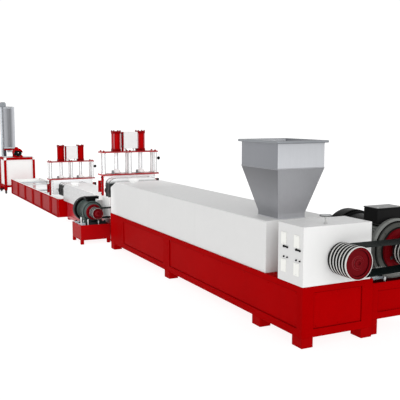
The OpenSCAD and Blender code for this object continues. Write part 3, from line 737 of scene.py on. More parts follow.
def ground_bar(name, c, dull, rough, metal):
    """Ground round bar standing upright: pale, with painted shade down the two flanks that face along (0.445, 0.896,
    0), and fine polishing lines.
    """
    m = Mat(name, rough, metal, 0.5)
    # painted shade: the flanks blend to the darker colour as the normal turns along (0.445, 0.896, 0)
    d = m.new("ShaderNodeVectorMath", operation="DOT_PRODUCT")
    m.link(m.tc.outputs["Normal"], d.inputs[0])
    d.inputs[1].default_value = (0.445, 0.896, 0.0)
    f = m.math("ABSOLUTE", d.outputs["Value"], 0.0)
    wob = m.math("ADD", f, m.math("MULTIPLY", m.noise(30, 3, 0.5, (1, 1, 0.05)), 0.06))
    col = m.mix(m.remap(wob, 0.60, 0.90, 0, 1), c, dull)
    st = m.noise(140, 3, 0.6, (1, 1, 0.01))
    col = m.mix(m.remap(st, 0.45, 0.75, 0, 0.16), col, mul(c, 0.72))
    col = m.mix(m.remap(m.noise(5, 4, 0.6), 0.5, 0.75, 0, 0.08), col, mul(c, 0.6))
    m.color(col)
    m.rough(m.remap(st, 0.3, 0.7, rough - 0.04, rough + 0.06))
    return m.m


M.chrome = ground_bar("chromed_rod", lin(246, 247, 248), lin(128, 128, 132), 0.18, 0.4)
M.column = ground_bar("guide_column_steel", lin(244, 245, 245), lin(112, 112, 114), 0.26, 0.3)


def rubber_belt(name="belt_rubber", lo=lin(9, 14, 13), hi=lin(20, 26, 25), grit=lin(66, 72, 69), spec=0.16):
    m = Mat(name, 0.62, 0.0, spec)
    g = m.noise(300, 4, 0.65)
    b = m.noise(8, 4, 0.6)
    col = m.mix(m.remap(b, 0.3, 0.7, 0, 1), lo, hi)
    col = m.mix(m.remap(g, 0.55, 0.75, 0, 0.18), col, grit)
    m.color(col)
    m.rough(m.remap(g, 0.3, 0.7, 0.5, 0.72))
    n = m.bump(g, 0.25, 0.0008)
    n = m.bump(m.wave(46, "X", "SIN"), 0.12, 0.0008, n)
    m.normal(n)
    return m.m


def lagging(name, z0, z1):
    """Woven heat lagging round the barrel ends, turning pale above a given height."""
    m = Mat(name, 0.62, 0.0, 0.2)
    a = m.wave(55, "Z", "SIN", distort=0.6)
    b = m.wave(55, "X", "SIN", distort=0.6)
    w = m.math("MULTIPLY", a, b)
    n1 = m.noise(26, 5, 0.7)
    col = m.mix(m.remap(w, 0.05, 0.7, 0, 1), lin(13, 17, 16), lin(38, 45, 43))
    col = m.mix(m.remap(n1, 0.46, 0.74, 0, 0.34), col, lin(64, 73, 71))
    col = m.mix(m.remap(m.height(), z0, z1, 0, 1), col, lin(246, 248, 248))
    m.color(col)
    m.rough(m.remap(n1, 0.3, 0.7, 0.5, 0.75))
    n = m.bump(w, 0.6, 0.003)
    n = m.bump(n1, 0.3, 0.004, n)
    m.normal(n)
    return m.m


def still_water():
    m = Mat("still_water", 0.06, 0.0, 0.5)
    b = m.noise(1.6, 4, 0.6)
    col = m.mix(m.remap(b, 0.3, 0.7, 0, 1), lin(247, 251, 248), lin(253, 254, 253))
    col = m.mix(m.remap(m.noise(14, 5, 0.7), 0.6, 0.8, 0, 0.2), col, lin(214, 226, 221))
    m.color(col)
    m.rough(m.remap(b, 0.3, 0.7, 0.04, 0.12))
    n = m.bump(m.noise(7, 3, 0.5, (1, 2.2, 1)), 0.10, 0.02)
    m.normal(n)
    return m.m


M.rubber = rubber_belt()
M.rubberd = rubber_belt("belt_rubber_lower_run", lin(2, 8, 8), lin(6, 15, 15), lin(26, 36, 35), 0.04)
M.lag = lagging("woven_lagging", 0.905, 0.955)
M.lag2 = lagging("woven_lagging_low", 0.60, 0.63)
M.water = still_water()


# ------------------------------------------------------------------ beds
k = Kit().add(cad("main_bed_frame", 4.0, 2))
piece("main_bed_body", k, [M.red], replaces=["main_bed_frame"])
k = Kit().add(cad("second_bed_frame", 3.5, 2))
piece("second_bed_body", k, [M.redg], replaces=["second_bed_frame"])

k = Kit().add(cad("bed_panels", 1.2, 1))


def row_of(a, b, pitch):
    n = max(2, int(round((b - a) / pitch)) + 1)
    return [a + (b - a) * i / (n - 1) for i in range(n)]


for x0, x1 in ((-2601, -74), (-4119, -2770)):
    for y, d in ((8, -1), (700, 1)):
        for x in row_of(x0 + 28, x1 - 28, 420):
            for z in (148 + 22, 450 - 22):
                k.screw((x, y, z), (0, d, 0), 6.0, 3.0, 0)
for x, d in ((-8, 1), (-4636 + 8, -1)):
    for y in row_of(110 + 28, 598 - 28, 220):
        for z in (170, 428):
            k.screw((x, y, z), (d, 0, 0), 6.0, 3.0, 0)
for x0, x1 in ((-6260, -5200), (-7445, -6360)):
    for y, d in ((178, -1), (530, 1)):
        for x in row_of(x0 + 24, x1 - 24, 330):
            for z in (80 + 20, 305 - 20):
                k.screw((x, y, z), (0, d, 0), 5.5, 3.0, 0)
# the second bed's panels and screws take its paler, pinker red: painted light and painted reflection
tint(k, lambda c, n: 1 if c[0] < -5000 else None)
# dark red strips round each panel of the main bed: painted shadow lines where the recess edges fall in shade
for x0, x1 in ((-2601, -74), (-4119, -2770)):
    for y in (8, 700):
        for a, b, c, d in ((x0, x1, 148, 155), (x0, x1, 443, 450), (x0, x0 + 7, 148, 450), (x1 - 7, x1, 148, 450)):
            k.box(a, b, y - 1.2, y + 1.2, c, d, 0.6, 2)
for x in (-8, -4628):
    for a, b, c, d in ((110, 598, 148, 155), (110, 598, 443, 450), (110, 117, 148, 450), (591, 598, 148, 450)):
        k.box(x - 1.2, x + 1.2, a, b, c, d, 0.6, 2)
piece("bed_infill_panels", k, [M.redp, M.redg, M.redl], replaces=["bed_panels"])

k = Kit().add(cad("bed_feet", 2.5, 2))
piece("bed_foot_blocks", k, [M.redf], replaces=["bed_feet"])

# ------------------------------------------------------------------ gearboxes
k = Kit().add(cad("main_gearbox", 5.0, 3))
k.add(ring(96, 40, 2.4, 0.8, 64), (0, 362, 706), RX, 1)
# cover plate on the far side, with its screws
k.box(-325, -34, 680, 684, 530, 950, 1.5)
for x in (-312, -180, -47):
    for z in (545, 740, 935):
        k.bolt((x, 684, z), YD, 13, 8, 2)
# foot flange along the deck on the drive side
for y in (60, 200, 520, 630):
    k.bolt((-359 + 0, y, 560), (-1, 0, 0), 15, 9, 2)
# the case's end face toward +x takes a paler white than its other faces: painted light
tint(k, lambda c, n: 3 if abs(c[0]) < 0.6 else None)
piece("main_gearbox_case", k, [M.white, M.greyp, M.zinc, M.whitee], replaces=["main_gearbox"])

k = Kit().add(cad("second_gearbox", 4.0, 3))
k.add(ring(70, 38, 2.4, 0.8, 48), (-5100, 354, 455), RX, 1)
for y, d in ((150, -1), (560, 1)):
    k.box(-5425, -5125, y - 4 if d < 0 else y, y if d < 0 else y + 4, 372, 668, 1.2)
    for x in (-5412, -5275, -5138):
        for z in (386, 520, 654):
            k.bolt((x, y + 4 * d, z), (0, d, 0), 11, 7, 2)
# the second gearbox takes the bright white, paler than the main case: painted light where the main bed shades it
piece("second_gearbox_case", k, [M.white2, M.greyp, M.zinc], replaces=["second_gearbox"])

k = Kit()
k.add(lathe([(0, 0), (14, 0), (14, 6), (6, 8), (6, 46), (20, 53), (47, 62), (50, 65), (50, 71), (48, 74), (44, 74), (41, 71), (20, 67), (0, 66)], 48, 1.0, 2), (-73, 263, 981))
k.add(hexnut(25, 9), (-73, 263, 984))
# painted light and shade on the cap: its underside takes the bright white, its top pale zinc and its rim dark steel
tint(k, lambda c, n: 1 if math.hypot(c[0] + 73, c[1] - 263) < 19 and c[2] < 1036 else 3 if math.hypot(c[0] + 73, c[1] - 263) < 46.5 and n[2] < 0.2 else 2 if c[2] > 1044 and math.hypot(c[0] + 73, c[1] - 263) < 41.5 and n[2] > 0.3 else None)
piece("breather_cap", k, [M.capst, M.stem, M.zinc, M.white2], replaces=["gearbox_breather"])

k = Kit().add(cad("gearbox_hatches", 1.6, 2))
for x in (-310, -126):
    for z0, z1 in ((577, 683), (803, 906)):
        for z in (z0 + 10, z1 - 10):
            k.screw((x + 36.5, -5, z), (0, -1, 0), 4.5, 2.6, 1)
piece("gearbox_hatch_strips", k, [M.whiteh, M.zinc], replaces=["gearbox_hatches"])

k = Kit()
for x in (-278, -102):
    # upper toggle: two lobes on one bar
    k.box(x + 6, x + 67, -9, 0, 782, 796, 3)
    k.cyl((x + 13, 0, 790), (0, -1, 0), 10, 13, 3, 0, 24)
    k.cyl((x + 61, 0, 788), (0, -1, 0), 8.5, 11, 3, 0, 24)
    for dx, r in ((12, 7.5), (61, 7)):
        k.cyl((x + dx, 0, 705), (0, -1, 0), r, 11, 2.5, 0, 24)
        k.cyl((x + dx, -10.5, 705), (0, -1, 0), r * 0.45, 1.5, 0.5, 0, 16)
piece("hatch_toggle_latches", k, [M.blackpl], replaces=["hatch_latches"])


# ------------------------------------------------------------------ hoods
def hood(name, stations, y0, y1, z0, seams, node, r=14.0):
    """Folded sheet cover: sections along x, with butt seams between its lengths."""
    kk = 6

    def section(x, zt, ins):
        a, b, t, rr = y0 + ins, y1 - ins, zt - ins, max(r - ins, 3.0)
        pts = [(a, z0), (b, z0)]
        for i in range(kk + 1):
            q = math.radians(90 * i / kk)
            pts.append((b - rr + rr * math.cos(q), t - rr + rr * math.sin(q)))
        for i in range(kk + 1):
            q = math.radians(90 + 90 * i / kk)
            pts.append((a + rr + rr * math.cos(q), t - rr + rr * math.sin(q)))
        return [(x, y, z) for y, z in pts]

    def top(x):
        for (xa, za), (xb, zb) in zip(stations, stations[1:]):
            if xa <= x <= xb:
                return za + (zb - za) * (x - xa) / (xb - xa)
        return stations[-1][1]

    cuts = []
    xa, xb = stations[0][0], stations[-1][0]
    for i, ins in ((0, 5.0), (1.5, 1.6), (5, 0.0)):
        cuts.append((xa + i, ins)); cuts.append((xb - i, ins))
    for x, _ in stations[1:-1]:
        for d in (-10, -4, 0, 4, 10):
            cuts.append((x + d, 0.0))
    for x in seams:
        for d, ins in ((-1.6, 0.0), (-0.5, 1.8), (0.5, 1.8), (1.6, 0.0)):
            cuts.append((x + d, ins))
    cuts = sorted(set(cuts))
    V, F, E = [], [], []
    n = 2 + 2 * (kk + 1)
    # ease the fold at each change of slope
    def ease(x):
        z = top(x)
        for xs, _ in stations[1:-1]:
            if abs(x - xs) < 10:
                z = (top(xs - 10) + top(xs + 10)) / 2 * 0.5 + z * 0.5
        return z
    for x, ins in cuts:
        V += section(x, ease(x), ins)
    for j in range(len(cuts) - 1):
        seam = cuts[j][1] != cuts[j + 1][1]
        for i in range(n):
            i2 = (i + 1) % n
            F.append((j * n + i, j * n + i2, (j + 1) * n + i2, (j + 1) * n + i))
            fillet = (2 <= i < 2 + kk) or (3 + kk <= i < 3 + 2 * kk)
            E.append(1.0 if (fillet or seam) else 0.0)
    F.append(tuple(range(n - 1, -1, -1))); E.append(0.0)
    F.append(tuple((len(cuts) - 1) * n + i for i in range(n))); E.append(0.0)
    kit = Kit().add((np.array(V, float), F, E, [0] * len(F)))
    return kit


k = hood("main", [(-4636, 865), (-4430, 950), (-565, 950)], 8, 694, 500, (-1950, -3230), "main_hood")
# closing screws along both lower edges
for x in row_of(-4600, -600, 400):
    for y, d in ((8, -1), (694, 1)):
        k.screw((x, y, 517), (0, d, 0), 5.0, 2.4, 1)
tint(k, lambda c, n: 2 if n[2] > 0.3 else None)
piece("main_barrel_hood", k, [M.white, M.whiteh, M.whitef], replaces=["main_hood"])
k = hood("second", [(-7545, 570), (-7430, 655), (-5780, 655), (-5560, 570)], 107, 548, 345, (-6600,), "second_hood", 12.0)
for x in row_of(-7515, -5590, 350):
    for y, d in ((107, -1), (548, 1)):
        k.screw((x, y, 361), (0, d, 0), 4.5, 2.2, 1)
# painted light and shade: the second hood's top takes the bright white and its sides and screws a darker white
tint(k, lambda c, n: 2 if n[2] > 0.5 else None)
piece("second_barrel_hood", k, [M.whiteg, M.whiteg, M.white2], replaces=["second_hood"])

k = Kit()
for x, y, z in ((-4330, 235, 950), (-7100, 200, 655)):
    k.add(lathe([(0, 0), (64, 0), (64, 4), (56, 6), (56, 18), (72, 20), (75, 24), (75, 34), (68, 46), (50, 56), (26, 61), (0, 62)], 64, 1.6, 2), (x, y, z))
    for a in range(6):
        q = math.radians(60 * a + 15)
        k.screw((x + 60 * math.cos(q), y + 60 * math.sin(q), z + 4), ZD, 3.0, 1.6)
piece("hood_vent_domes", k, [M.white2], replaces=["hood_vents"])

# ------------------------------------------------------------------ hopper
hx0, hx1, hy0, hy1 = -1082, -472, 59, 541
nx0, nx1, ny0, ny1 = -945, -609, 158, 442


def grow(o, c, z, r=(hx0, hx1, hy0, hy1)):
    return (r[0] - o, r[1] + o, r[2] - o, r[3] + o, c, z)


k = Kit()
k.add(loft([grow(0, 9, 1398), grow(0, 9, 1606), grow(1.5, 10, 1611), grow(5, 12, 1614), grow(26, 20, 1614.5),
            grow(29.4, 22, 1617.5), grow(30, 22, 1625), grow(29.2, 22, 1632), grow(26, 20, 1635.6), grow(0, 9, 1636),
            grow(-4, 7, 1634.5), grow(-5, 6, 1630), grow(-5, 6, 1398)], 5))
# weld bead between bin and cone
k.add(loft([grow(-1, 8, 1391), grow(1.8, 10, 1394), grow(2.6, 11, 1398), grow(1.8, 10, 1402), grow(-1, 8, 1405)], 5), mat=1)
# the bin's sheets facing along y take a darker copy of its steel: painted shade
tint(k, lambda c, n: 3 if c[2] > 1612 else 2 if abs(n[1]) > abs(n[0]) and abs(n[2]) < 0.5 else None)
piece("hopper_upper_bin", k, [M.steelA, M.steelB, M.steelAs, M.steelR], replaces=["hopper_bin"], smooth=30)
k = Kit()
nk = (nx0, nx1, ny0, ny1)
k.add(loft([grow(0, 8, 950, nk), grow(0, 8, 992, nk), grow(1.0, 8, 997, nk), grow(0, 9, 1396), grow(-5, 6, 1396),
            grow(-5, 5, 995, nk), grow(-5, 5, 950, nk)], 5))
for cx, cy, bx_, by_ in ((nx0, ny0, hx0, hy0), (nx1, ny0, hx1, hy0), (nx1, ny1, hx1, hy1), (nx0, ny1, hx0, hy1)):
    sx, sy = (1 if cx < -777 else -1), (1 if cy < 300 else -1)
    a, b = np.array([cx + sx * 3.2, cy + sy * 3.2, 996.0]), np.array([bx_ + sx * 3.6, by_ + sy * 3.6, 1394.0])
    pts = [a + (b - a) * i / 40 + np.array([0, 0, 0]) for i in range(41)]
    k.add(tube(pts, 3.2, 8), mat=0)
# weld line round the neck and on the cover
k.add(loft([grow(-1, 7, 950.2, nk), grow(7, 12, 950.2, nk), grow(4, 10, 953.5, nk), grow(0.5, 8, 957.5, nk), grow(-1, 7, 957, nk)], 5), mat=0)
# the cone's sheets facing along y take a darker copy of its steel: painted shade
tint(k, lambda c, n: 1 if abs(n[1]) > abs(n[0]) and abs(n[2]) < 0.6 else None)
piece("hopper_lower_cone", k, [M.steelB, M.steelBs], replaces=["hopper_cone"], smooth=30)


# ------------------------------------------------------------------ drives
RIB = 15.0


def groove_w(w, n, back=0):
    return (w - back - (n + 1) * RIB) / n


def groove_x(w, n, i, back=0):
    return back + RIB + i * (groove_w(w, n, back) + RIB)


def pulley(name, x, c, r, w, n, f, shaft, body, node, rim=None):
    """Grooved pulley: rims, dark V grooves, maroon dished face with a hub."""
    # the big pulleys have a dark flange behind their ribs
    back = 26 if n > 3 else 0
    pts, mats = ([(0, 0), (r - 16, 0), (r - 1.5, 0), (r - 1.5, back - 2), (r, back)], [3, 1, 1, 1]) if back else ([(0, 0), (r - 16, 0), (r, 0)], [3, 0])
    gw = groove_w(w, n, back)
    ch = 1.3 if back else 2.2
    for i in range(n):
        a = groove_x(w, n, i, back)
        pts += [(r, a - ch), (r - 3, a + 1.2), (r - 24, a + 5.0), (r - 24, a + gw - 5.0), (r - 3, a + gw - 1.2), (r, a + gw + ch)]
        mats += [0, 1, 1, 1, 1, 1]
    pts += [(r, w)]
    mats += [0]
    fr = r - 5.5 if rim is None else r - 2.5
    f = min(f, r * 0.33)
    face = [(fr, w), (fr - 1.5, w - 8), (r * 0.80, w - 9), (r * 0.775, w - 19.5), (r * 0.44, w - 20), (r * 0.40, w - 13),
            (f + 4, w - 13), (f, w - 11), (f, w - 6), (f * 0.62, w - 5), (f * 0.58, w - 3), (f * 0.34, w - 2.5), (f * 0.30, w - 8), (0, w - 8)]
    pts += face
    # the dished face's step walls take in turn a darker maroon (painted shade) and a paler maroon (painted highlight)
    mats += [0, 2, 2, 4, 2, 5, 2, 5, 4, 2, 5, 2, 4, 2]
    kit = Kit().add(lathe(pts, 96, 0.9, 2, mats), (x, c[0], c[1]), RX)
    kit.cyl((x - shaft, c[0], c[1]), XD, 30, shaft + 1, 2.0, 3, 40)
    for q in range(3):
        a = math.radians(120 * q + 20)
        rr = f * 0.8
        kit.screw((x + w - 6, c[0] + rr * math.cos(a), c[1] + rr * math.sin(a)), XD, 4.2, 2.2, 2)
    return piece(name, kit, [rim or M.rim, M.groove, M.maroon, M.zinc, M.maroond, M.maroonl], body, [node], smooth=32)


P1, M1, P2, M2 = (362, 706), (1020, 712), (354, 455), (-85, 452)
pulley("main_gearbox_pulley", 8, P1, 133, 227, 5, 40, 100, "main_pulley", "main_pulley")
pulley("main_drive_pulley", 8, M1, 122, 227, 5, 36, 150, "main_motor_pulley", "main_motor_pulley")
pulley("second_gearbox_pulley", -5090, P2, 85, 150, 3, 34, 90, "second_pulley", "second_pulley", M.rim2)
pulley("second_drive_pulley", -5090, M2, 80, 150, 3, 34, 140, "second_motor_pulley", "second_motor_pulley", M.rim2)


def loop(a, ra, b, rb, k=56, s=18):
    a, b = np.array(a, float), np.array(b, float)
    t = math.degrees(math.atan2(b[1] - a[1], b[0] - a[0]))
    q = math.degrees(math.acos((ra - rb) / np.linalg.norm(b - a)))
    A = [a + ra * np.array([math.cos(math.radians(t + q + i * (360 - 2 * q) / k)), math.sin(math.radians(t + q + i * (360 - 2 * q) / k))]) for i in range(k + 1)]
    B = [b + rb * np.array([math.cos(math.radians(t - q + i * 2 * q / k)), math.sin(math.radians(t - q + i * 2 * q / k))]) for i in range(k + 1)]
    out = list(A)
    out += [A[-1] + (B[0] - A[-1]) * i / s for i in range(1, s)]
    out += B
    out += [B[-1] + (A[0] - B[-1]) * i / s for i in range(1, s)]
    return out


def belts(name, x, w, n, a, ra, b, rb, node):
    kit = Kit()
    back = 26 if n > 3 else 0
    gw = groove_w(w, n, back)
    bw = 8.0 if back else 8.8
    sec, _ = roundp([(-bw, -6), (bw, -6), (bw - 3.4, -18.5), (3.4 - bw, -18.5)], 1.6, 2, closed=True)
    for i in range(n):
        cx = x + groove_x(w, n, i, back) + gw / 2
        kit.add(sweep_loop(loop(a, ra, b, rb), [(cx + p, o) for p, o in sec]))
    # the belts' lower run takes a darker rubber: painted shade
    tint(kit, lambda c, n: 1 if c[2] < a[1] - ra * 0.55 else None)
    return piece(name, kit, [M.rubber, M.rubberd], LINE, [node], smooth=45)


belts("main_v_belts", 8, 227, 5, P1, 133, M1, 122, "main_belts")
belts("second_v_belts", -5090, 150, 3, P2, 85, M2, 80, "second_belts")


# ------------------------------------------------------------------ motors
def motor(tag, c, r, x0, x1, foot_z, fy, fx, fins, body_m, bell_m, box_half):
    """Cast frame with cooling fins, end bell, feet and ties."""
    L = x1 - x0
    kit = Kit()
    core = r - 18
    kit.add(lathe([(0, 0), (r - 6, 0), (r - 4, 3), (r - 4, 26), (r - 8, 30), (core, 34), (core, L - 86), (r - 6, L - 82), (r, L - 78),
                   (r, L - 46), (r - 5, L - 41), (36, L - 41), (36, L - 128), (0, L - 128)], 96, 2.0, 2), (x0, c[0], c[1]), RX, 0)
    # end bell: stepped cone with a bearing seat and the shaft's bore
    kit.add(lathe([(0, L - 128), (36, L - 128), (36, L), (r * 0.68, L), (r * 0.71, L - 4), (r * 0.74, L - 8), (r * 0.80, L - 10), (r * 0.84, L - 16),
                   (r * 0.865, L - 20), (r * 0.872, L - 33), (r * 0.925, L - 36), (r * 0.93, L - 32), (r * 0.95, L - 36), (r - 4, L - 42), (r - 4, L - 60),
                   (0, L - 130)], 96, 1.2, 2, [1] * 9 + [3, 3] + [1] * 5), (x0, c[0], c[1]), RX)
    for i in range(8):
        q = math.radians(45 * i + 22.5)
        kit.bolt((x1 - 41, c[0] + r * 0.965 * math.cos(q), c[1] + r * 0.965 * math.sin(q)), XD, max(8, r * 0.035), None, 1)
    # ribs on the bell
    for i in range(8):
        q = 45 * i
        R = rx(q)
        kit.add(rbox(12, r * 0.09, 7, 2.0), np.array([x1 - 13, c[0], c[1]]) + R @ np.array([0, r * 0.795, 0]), R, 1)
    # cooling fins, left out under the feet and the terminal box
    for i in range(fins):
        q = 360.0 * i / fins
        qq = math.radians(q)
        y, z = math.cos(qq), math.sin(qq)
        if z > 0 and abs(y) * r < box_half:
            continue
        if z < -0.45 and abs(abs(y) * r - fy) < 32 + 10:
            continue
        R = rx(q)
        kit.add(rbox(L - 122, 16, 4.2, 1.3), np.array([(x0 + 34 + x1 - 84) / 2, c[0], c[1]]) + R @ np.array([0, core + 4.5, 0]), R, 0)
    # painted light and shade on the big motor: its frame black along the top and light grey across the middle, a black
    # ring on the end bell beside the cover disc, light grey on the bell's upper rim and lower part
    if r > 200:
        def shade(q, n):
            a = math.hypot(q[1] - c[0], q[2] - c[1]) / r
            if q[0] < x1 - 90:
                return 3 if q[2] > c[1] + r * 0.74 else 5 if q[2] > c[1] - r * 0.5 else None
            if 0.694 < a < 0.742 and q[0] > x1 - 12:
                return 3
            if a > 0.93 and q[2] > c[1] + r * 0.2:
                return 5
            if a > 0.742 and q[2] < c[1] - r * 0.53:
                return 5
            return None
        tint(kit, shade)
    # feet: pads with webs; the big motor's feet take a paler grey than its frame: painted light
    for s in (-1, 1):
        yc = c[0] + s * fy
        kit.box(fx[0], fx[1], yc - 36, yc + 36, foot_z, foot_z + 16, 3, 4)
        for x in (fx[0] + 16, (fx[0] + fx[1]) / 2, fx[1] - 16):
            kit.box(x - 9, x + 9, yc - 26, yc + 26, foot_z + 10, c[1] - r * 0.55, 3, 4)
        kit.box(fx[0], fx[1], yc - 9 + s * 12, yc + 9 + s * 12, foot_z + 10, c[1] - r * 0.58, 3, 4)
        for x in (fx[0] + 45, fx[1] - 45):
            kit.bolt((x, yc + s * 22, foot_z + 16), ZD, 19 if r > 200 else 15, None, 2)
    return kit, [body_m, bell_m, M.zinc, M.black, M.foot1 if r > 200 else body_m, M.flange1]


k, mm = motor("main", M1, 260, -622, -40, 467, 178, (-470, -130), 64, M.motor1, M.bell1, 150)
k2, mm2 = motor("second", M2, 155, -5504, -5150, 292, 100, (-5440, -5200), 48, M.motor2, M.bell2, 120)
both = Kit()
for kit, base in ((k, 0), (k2, 6)):
    off = both.n
    both.v += kit.v
    both.f += [tuple(i + off for i in q) for q in kit.f]
    both.e += kit.e
    both.m += [q + base for q in kit.m]
    both.n += kit.n
piece("motor_frames", both, mm + mm2, replaces=["motor_bodies"], smooth=34)

k = Kit()
for c, r, x, h in ((M1, 182, -40, 30), (M2, 113, -5150, 28)):
    s = [(36, 0), (r, 0), (r, h - 9), (r - 7, h - 1), (r * 0.80, h - 1), (r * 0.76, h - 7), (r * 0.56, h - 7), (r * 0.52, h), (36, h)]
    k.add(lathe(s, 96, 1.4, 2), (x, c[0], c[1]), RX)
    for i in range(6):
        q = math.radians(60 * i + 30)
        k.bolt((x + h - 7, c[0] + r * 0.66 * math.cos(q), c[1] + r * 0.66 * math.sin(q)), XD, r * 0.095, None, 1)
piece("motor_cover_discs", k, [M.maroon, M.dark], replaces=["motor_end_covers"], smooth=34)

k = Kit()
for c, r, x, h in ((M1, 270, -772, 150), (M2, 184, -5624, 120)):
    # pressed cowl with a dished grille at its far end
    s = [(r * 0.80, 10), (r - 26, 0), (r - 8, 5), (r, 22), (r, h - 14), (r - 2, h - 12), (r - 2, h - 4), (r, h), (r - 8, h), (r - 8, 26), (r * 0.80, 16)]
    k.add(lathe(s, 96, 1.6, 2), (x, c[0], c[1]), RX)
    k.add(lathe([(0, h - 40), (r - 9, h - 40), (r - 9, h - 2), (0, h - 2)], 64, 2), (x, c[0], c[1]), RX, 1)
    for j in range(7):
        rr = r * (0.14 + 0.11 * j)
        k.add(ring(rr + 2.6, rr - 2.6, 6, 1.6, 64), (x + 8, c[0], c[1]), RX)
    for j in range(6):
        R = rx(60 * j)
        k.add(rbox(5, r * 0.80, 9, 1.4), np.array([x + 13, c[0], c[1]]) + R @ np.array([0, r * 0.41, 0]), R)
    k.add(cyl(r * 0.10, 9, 2, 40), (x + 7, c[0], c[1]), RX)
    # fan blades behind the grille
    for j in range(9):
        R = rx(40 * j)
        k.add(rbox(34, r * 0.62, 4, 1.2), np.array([x + 52, c[0], c[1]]) + R @ np.array([0, r * 0.45, 0]), R, 1)
    k.add(cyl(r * 0.2, h - 60, 3, 40), (x + 34, c[0], c[1]), RX, 1)
    for j in range(4):
        q = math.radians(90 * j + 45)
        d = (0, math.cos(q), math.sin(q))
        k.screw((x + h - 30, c[0] + (r - 0.4) * math.cos(q), c[1] + (r - 0.4) * math.sin(q)), d, 5, 2.6, 2)
piece("motor_cowls", k, [M.black, M.blackpl, M.zinc], replaces=["motor_fan_cowls"], smooth=34)

k = Kit()
# main terminal box: body, lid with a lip, cable glands, screws
k.box(-310, -132, 850, 1130, 926, 1049, 5, 0, 3)
k.box(-296, -146, 884, 1096, 892, 930, 4, 4, 2)
k.box(-313, -129, 847, 1133, 1051, 1065, 5, 1, 3)
k.box(-306, -136, 854, 1126, 1046, 1054, 1)
for x in (-300, -142):
    for y in (860, 1120):
        k.screw((x, y, 1065), ZD, 6, 3, 2)
for y in (930, 1010):
    k.add(hexnut(38, 14), (-310, y, 985), RXN, 0)
    k.cyl((-324, y, 985), (-1, 0, 0), 14, 18, 3, 0, 24)
    k.cyl((-342, y, 985), (-1, 0, 0), 9, 3, 1, 2, 20)
# second terminal box: a flat slab on a stem
k.box(-5370, -5272, -166, 38, 628, 655, 4, 0, 3)
k.box(-5372, -5270, -168, 40, 653, 666, 4, 1, 3)
k.box(-5358, -5284, -135, -8, 596, 630, 6, 0, 2)
for x in (-5363, -5279):
    for y in (-158, 30):
        k.screw((x, y, 666), ZD, 4.5, 2.4, 0)
k.add(hexnut(30, 11), (-5370, -70, 641), RXN, 0)
k.cyl((-5381, -70, 641), (-1, 0, 0), 10, 14, 2, 0, 24)
tint(k, lambda c, n: 5 if c[0] < -3000 else 3 if c[2] > 1051 and n[2] > 0.5 and c[2] < 1066 else None)
piece("terminal_boxes", k, [M.tbox, M.tbox, M.zinc, M.lid, M.motor1, M.black], replaces=["motor_terminal_boxes"])

k = Kit().add(cad("motor_bases", 3.5, 2))
# painted shade: the floors inside both bases' trays take a dark red; the rest of the second base takes the base red
tint(k, lambda c, n: 2 if 414 < c[2] < 444 and -607 < c[0] < -43 and 728 < c[1] < 1290 or 247 < c[2] < 277 and -5489 < c[0] < -5061 and -299 < c[1] < 122
     else 1 if c[0] < -3000 else None)
# thin dark red strips on the main base's face toward +x: painted shadow lines along a recess edge
k.box(-42.5, -40.5, 800, 1215, 369, 373, 0.6, 3)
for y in (800, 1211):
    k.box(-42.5, -40.5, y, y + 4, 196, 373, 0.6, 3)
piece("motor_base_frames", k, [M.red, M.redb, M.redk, M.redl], replaces=["motor_bases"])

k = Kit()
# painted shade and light on the rails: the main motor's rails have dark lower webs (dark red under the rail at x -195)
# and a dark stretch from y 732 to 802, the rest lightened pale steel; the second motor's rails are dark from y -195 to
# 118 and pale steel beyond
for x in (-465, -195):
    k.box(x + 6, x + 54, 734, 1283, 415, 446, 3, 4 if x > -300 else 2)
    k.box(x, x + 60, 732, 802, 443, 467, 3, 2)
    k.box(x, x + 60, 800, 1285, 441, 467, 3, 3)
    k.box(x + 22, x + 38, 745, 1272, 466, 468.5, 0.6, 1)
    for y in (765, 1255):
        k.cyl((x + 30, y, 467), ZD, 9.2, 42, 1.5, 0, 20)
        k.bolt((x + 30, y, 467), ZD, 27, 17, 0)
        k.add(hexnut(27, 9), (x + 30, y, 489), None, 0)
for x in (-5435, -5250):
    k.box(x, x + 45, -195, 118, 248, 292, 2.5, 2)
    k.box(x, x + 45, -295, -194, 248, 292, 2.5, 3)
    for y in (-275, 105):
        k.cyl((x + 22, y, 292), ZD, 8.4, 22, 1.5, 1, 20)
        k.bolt((x + 22, y, 292), ZD, 24, 14, 1)
# tension bolts standing in the trays
for x, y, z, h, r in ((-75, 902, 415, 63, 9), (-75, 1138, 415, 63, 9), (-5110, -286, 248, 147, 8), (-5110, -183, 248, 106, 8), (-5110, -25, 248, 79, 8)):
    k.cyl((x, y, z), ZD, r, h, 1.5, 0, 20)
    k.add(hexnut(19, 12), (x, y, z + h - 26), None, 0)
    k.bolt((x, y, z), ZD, 24, 14, 0)
piece("slide_rails_and_bolts", k, [M.zinc, M.dark, M.railk, M.rail, M.redk], replaces=["motor_slide_rails"])


# ------------------------------------------------------------------ screen changers
CHX, CHDZ, RODY = (-4900, -7980), (0, -322), (189, 558)
CH_Y, CH_Z, UP = 372, 1008, 1328

# lagged adapters between barrel and changer, with rolled upper edges
k = Kit()


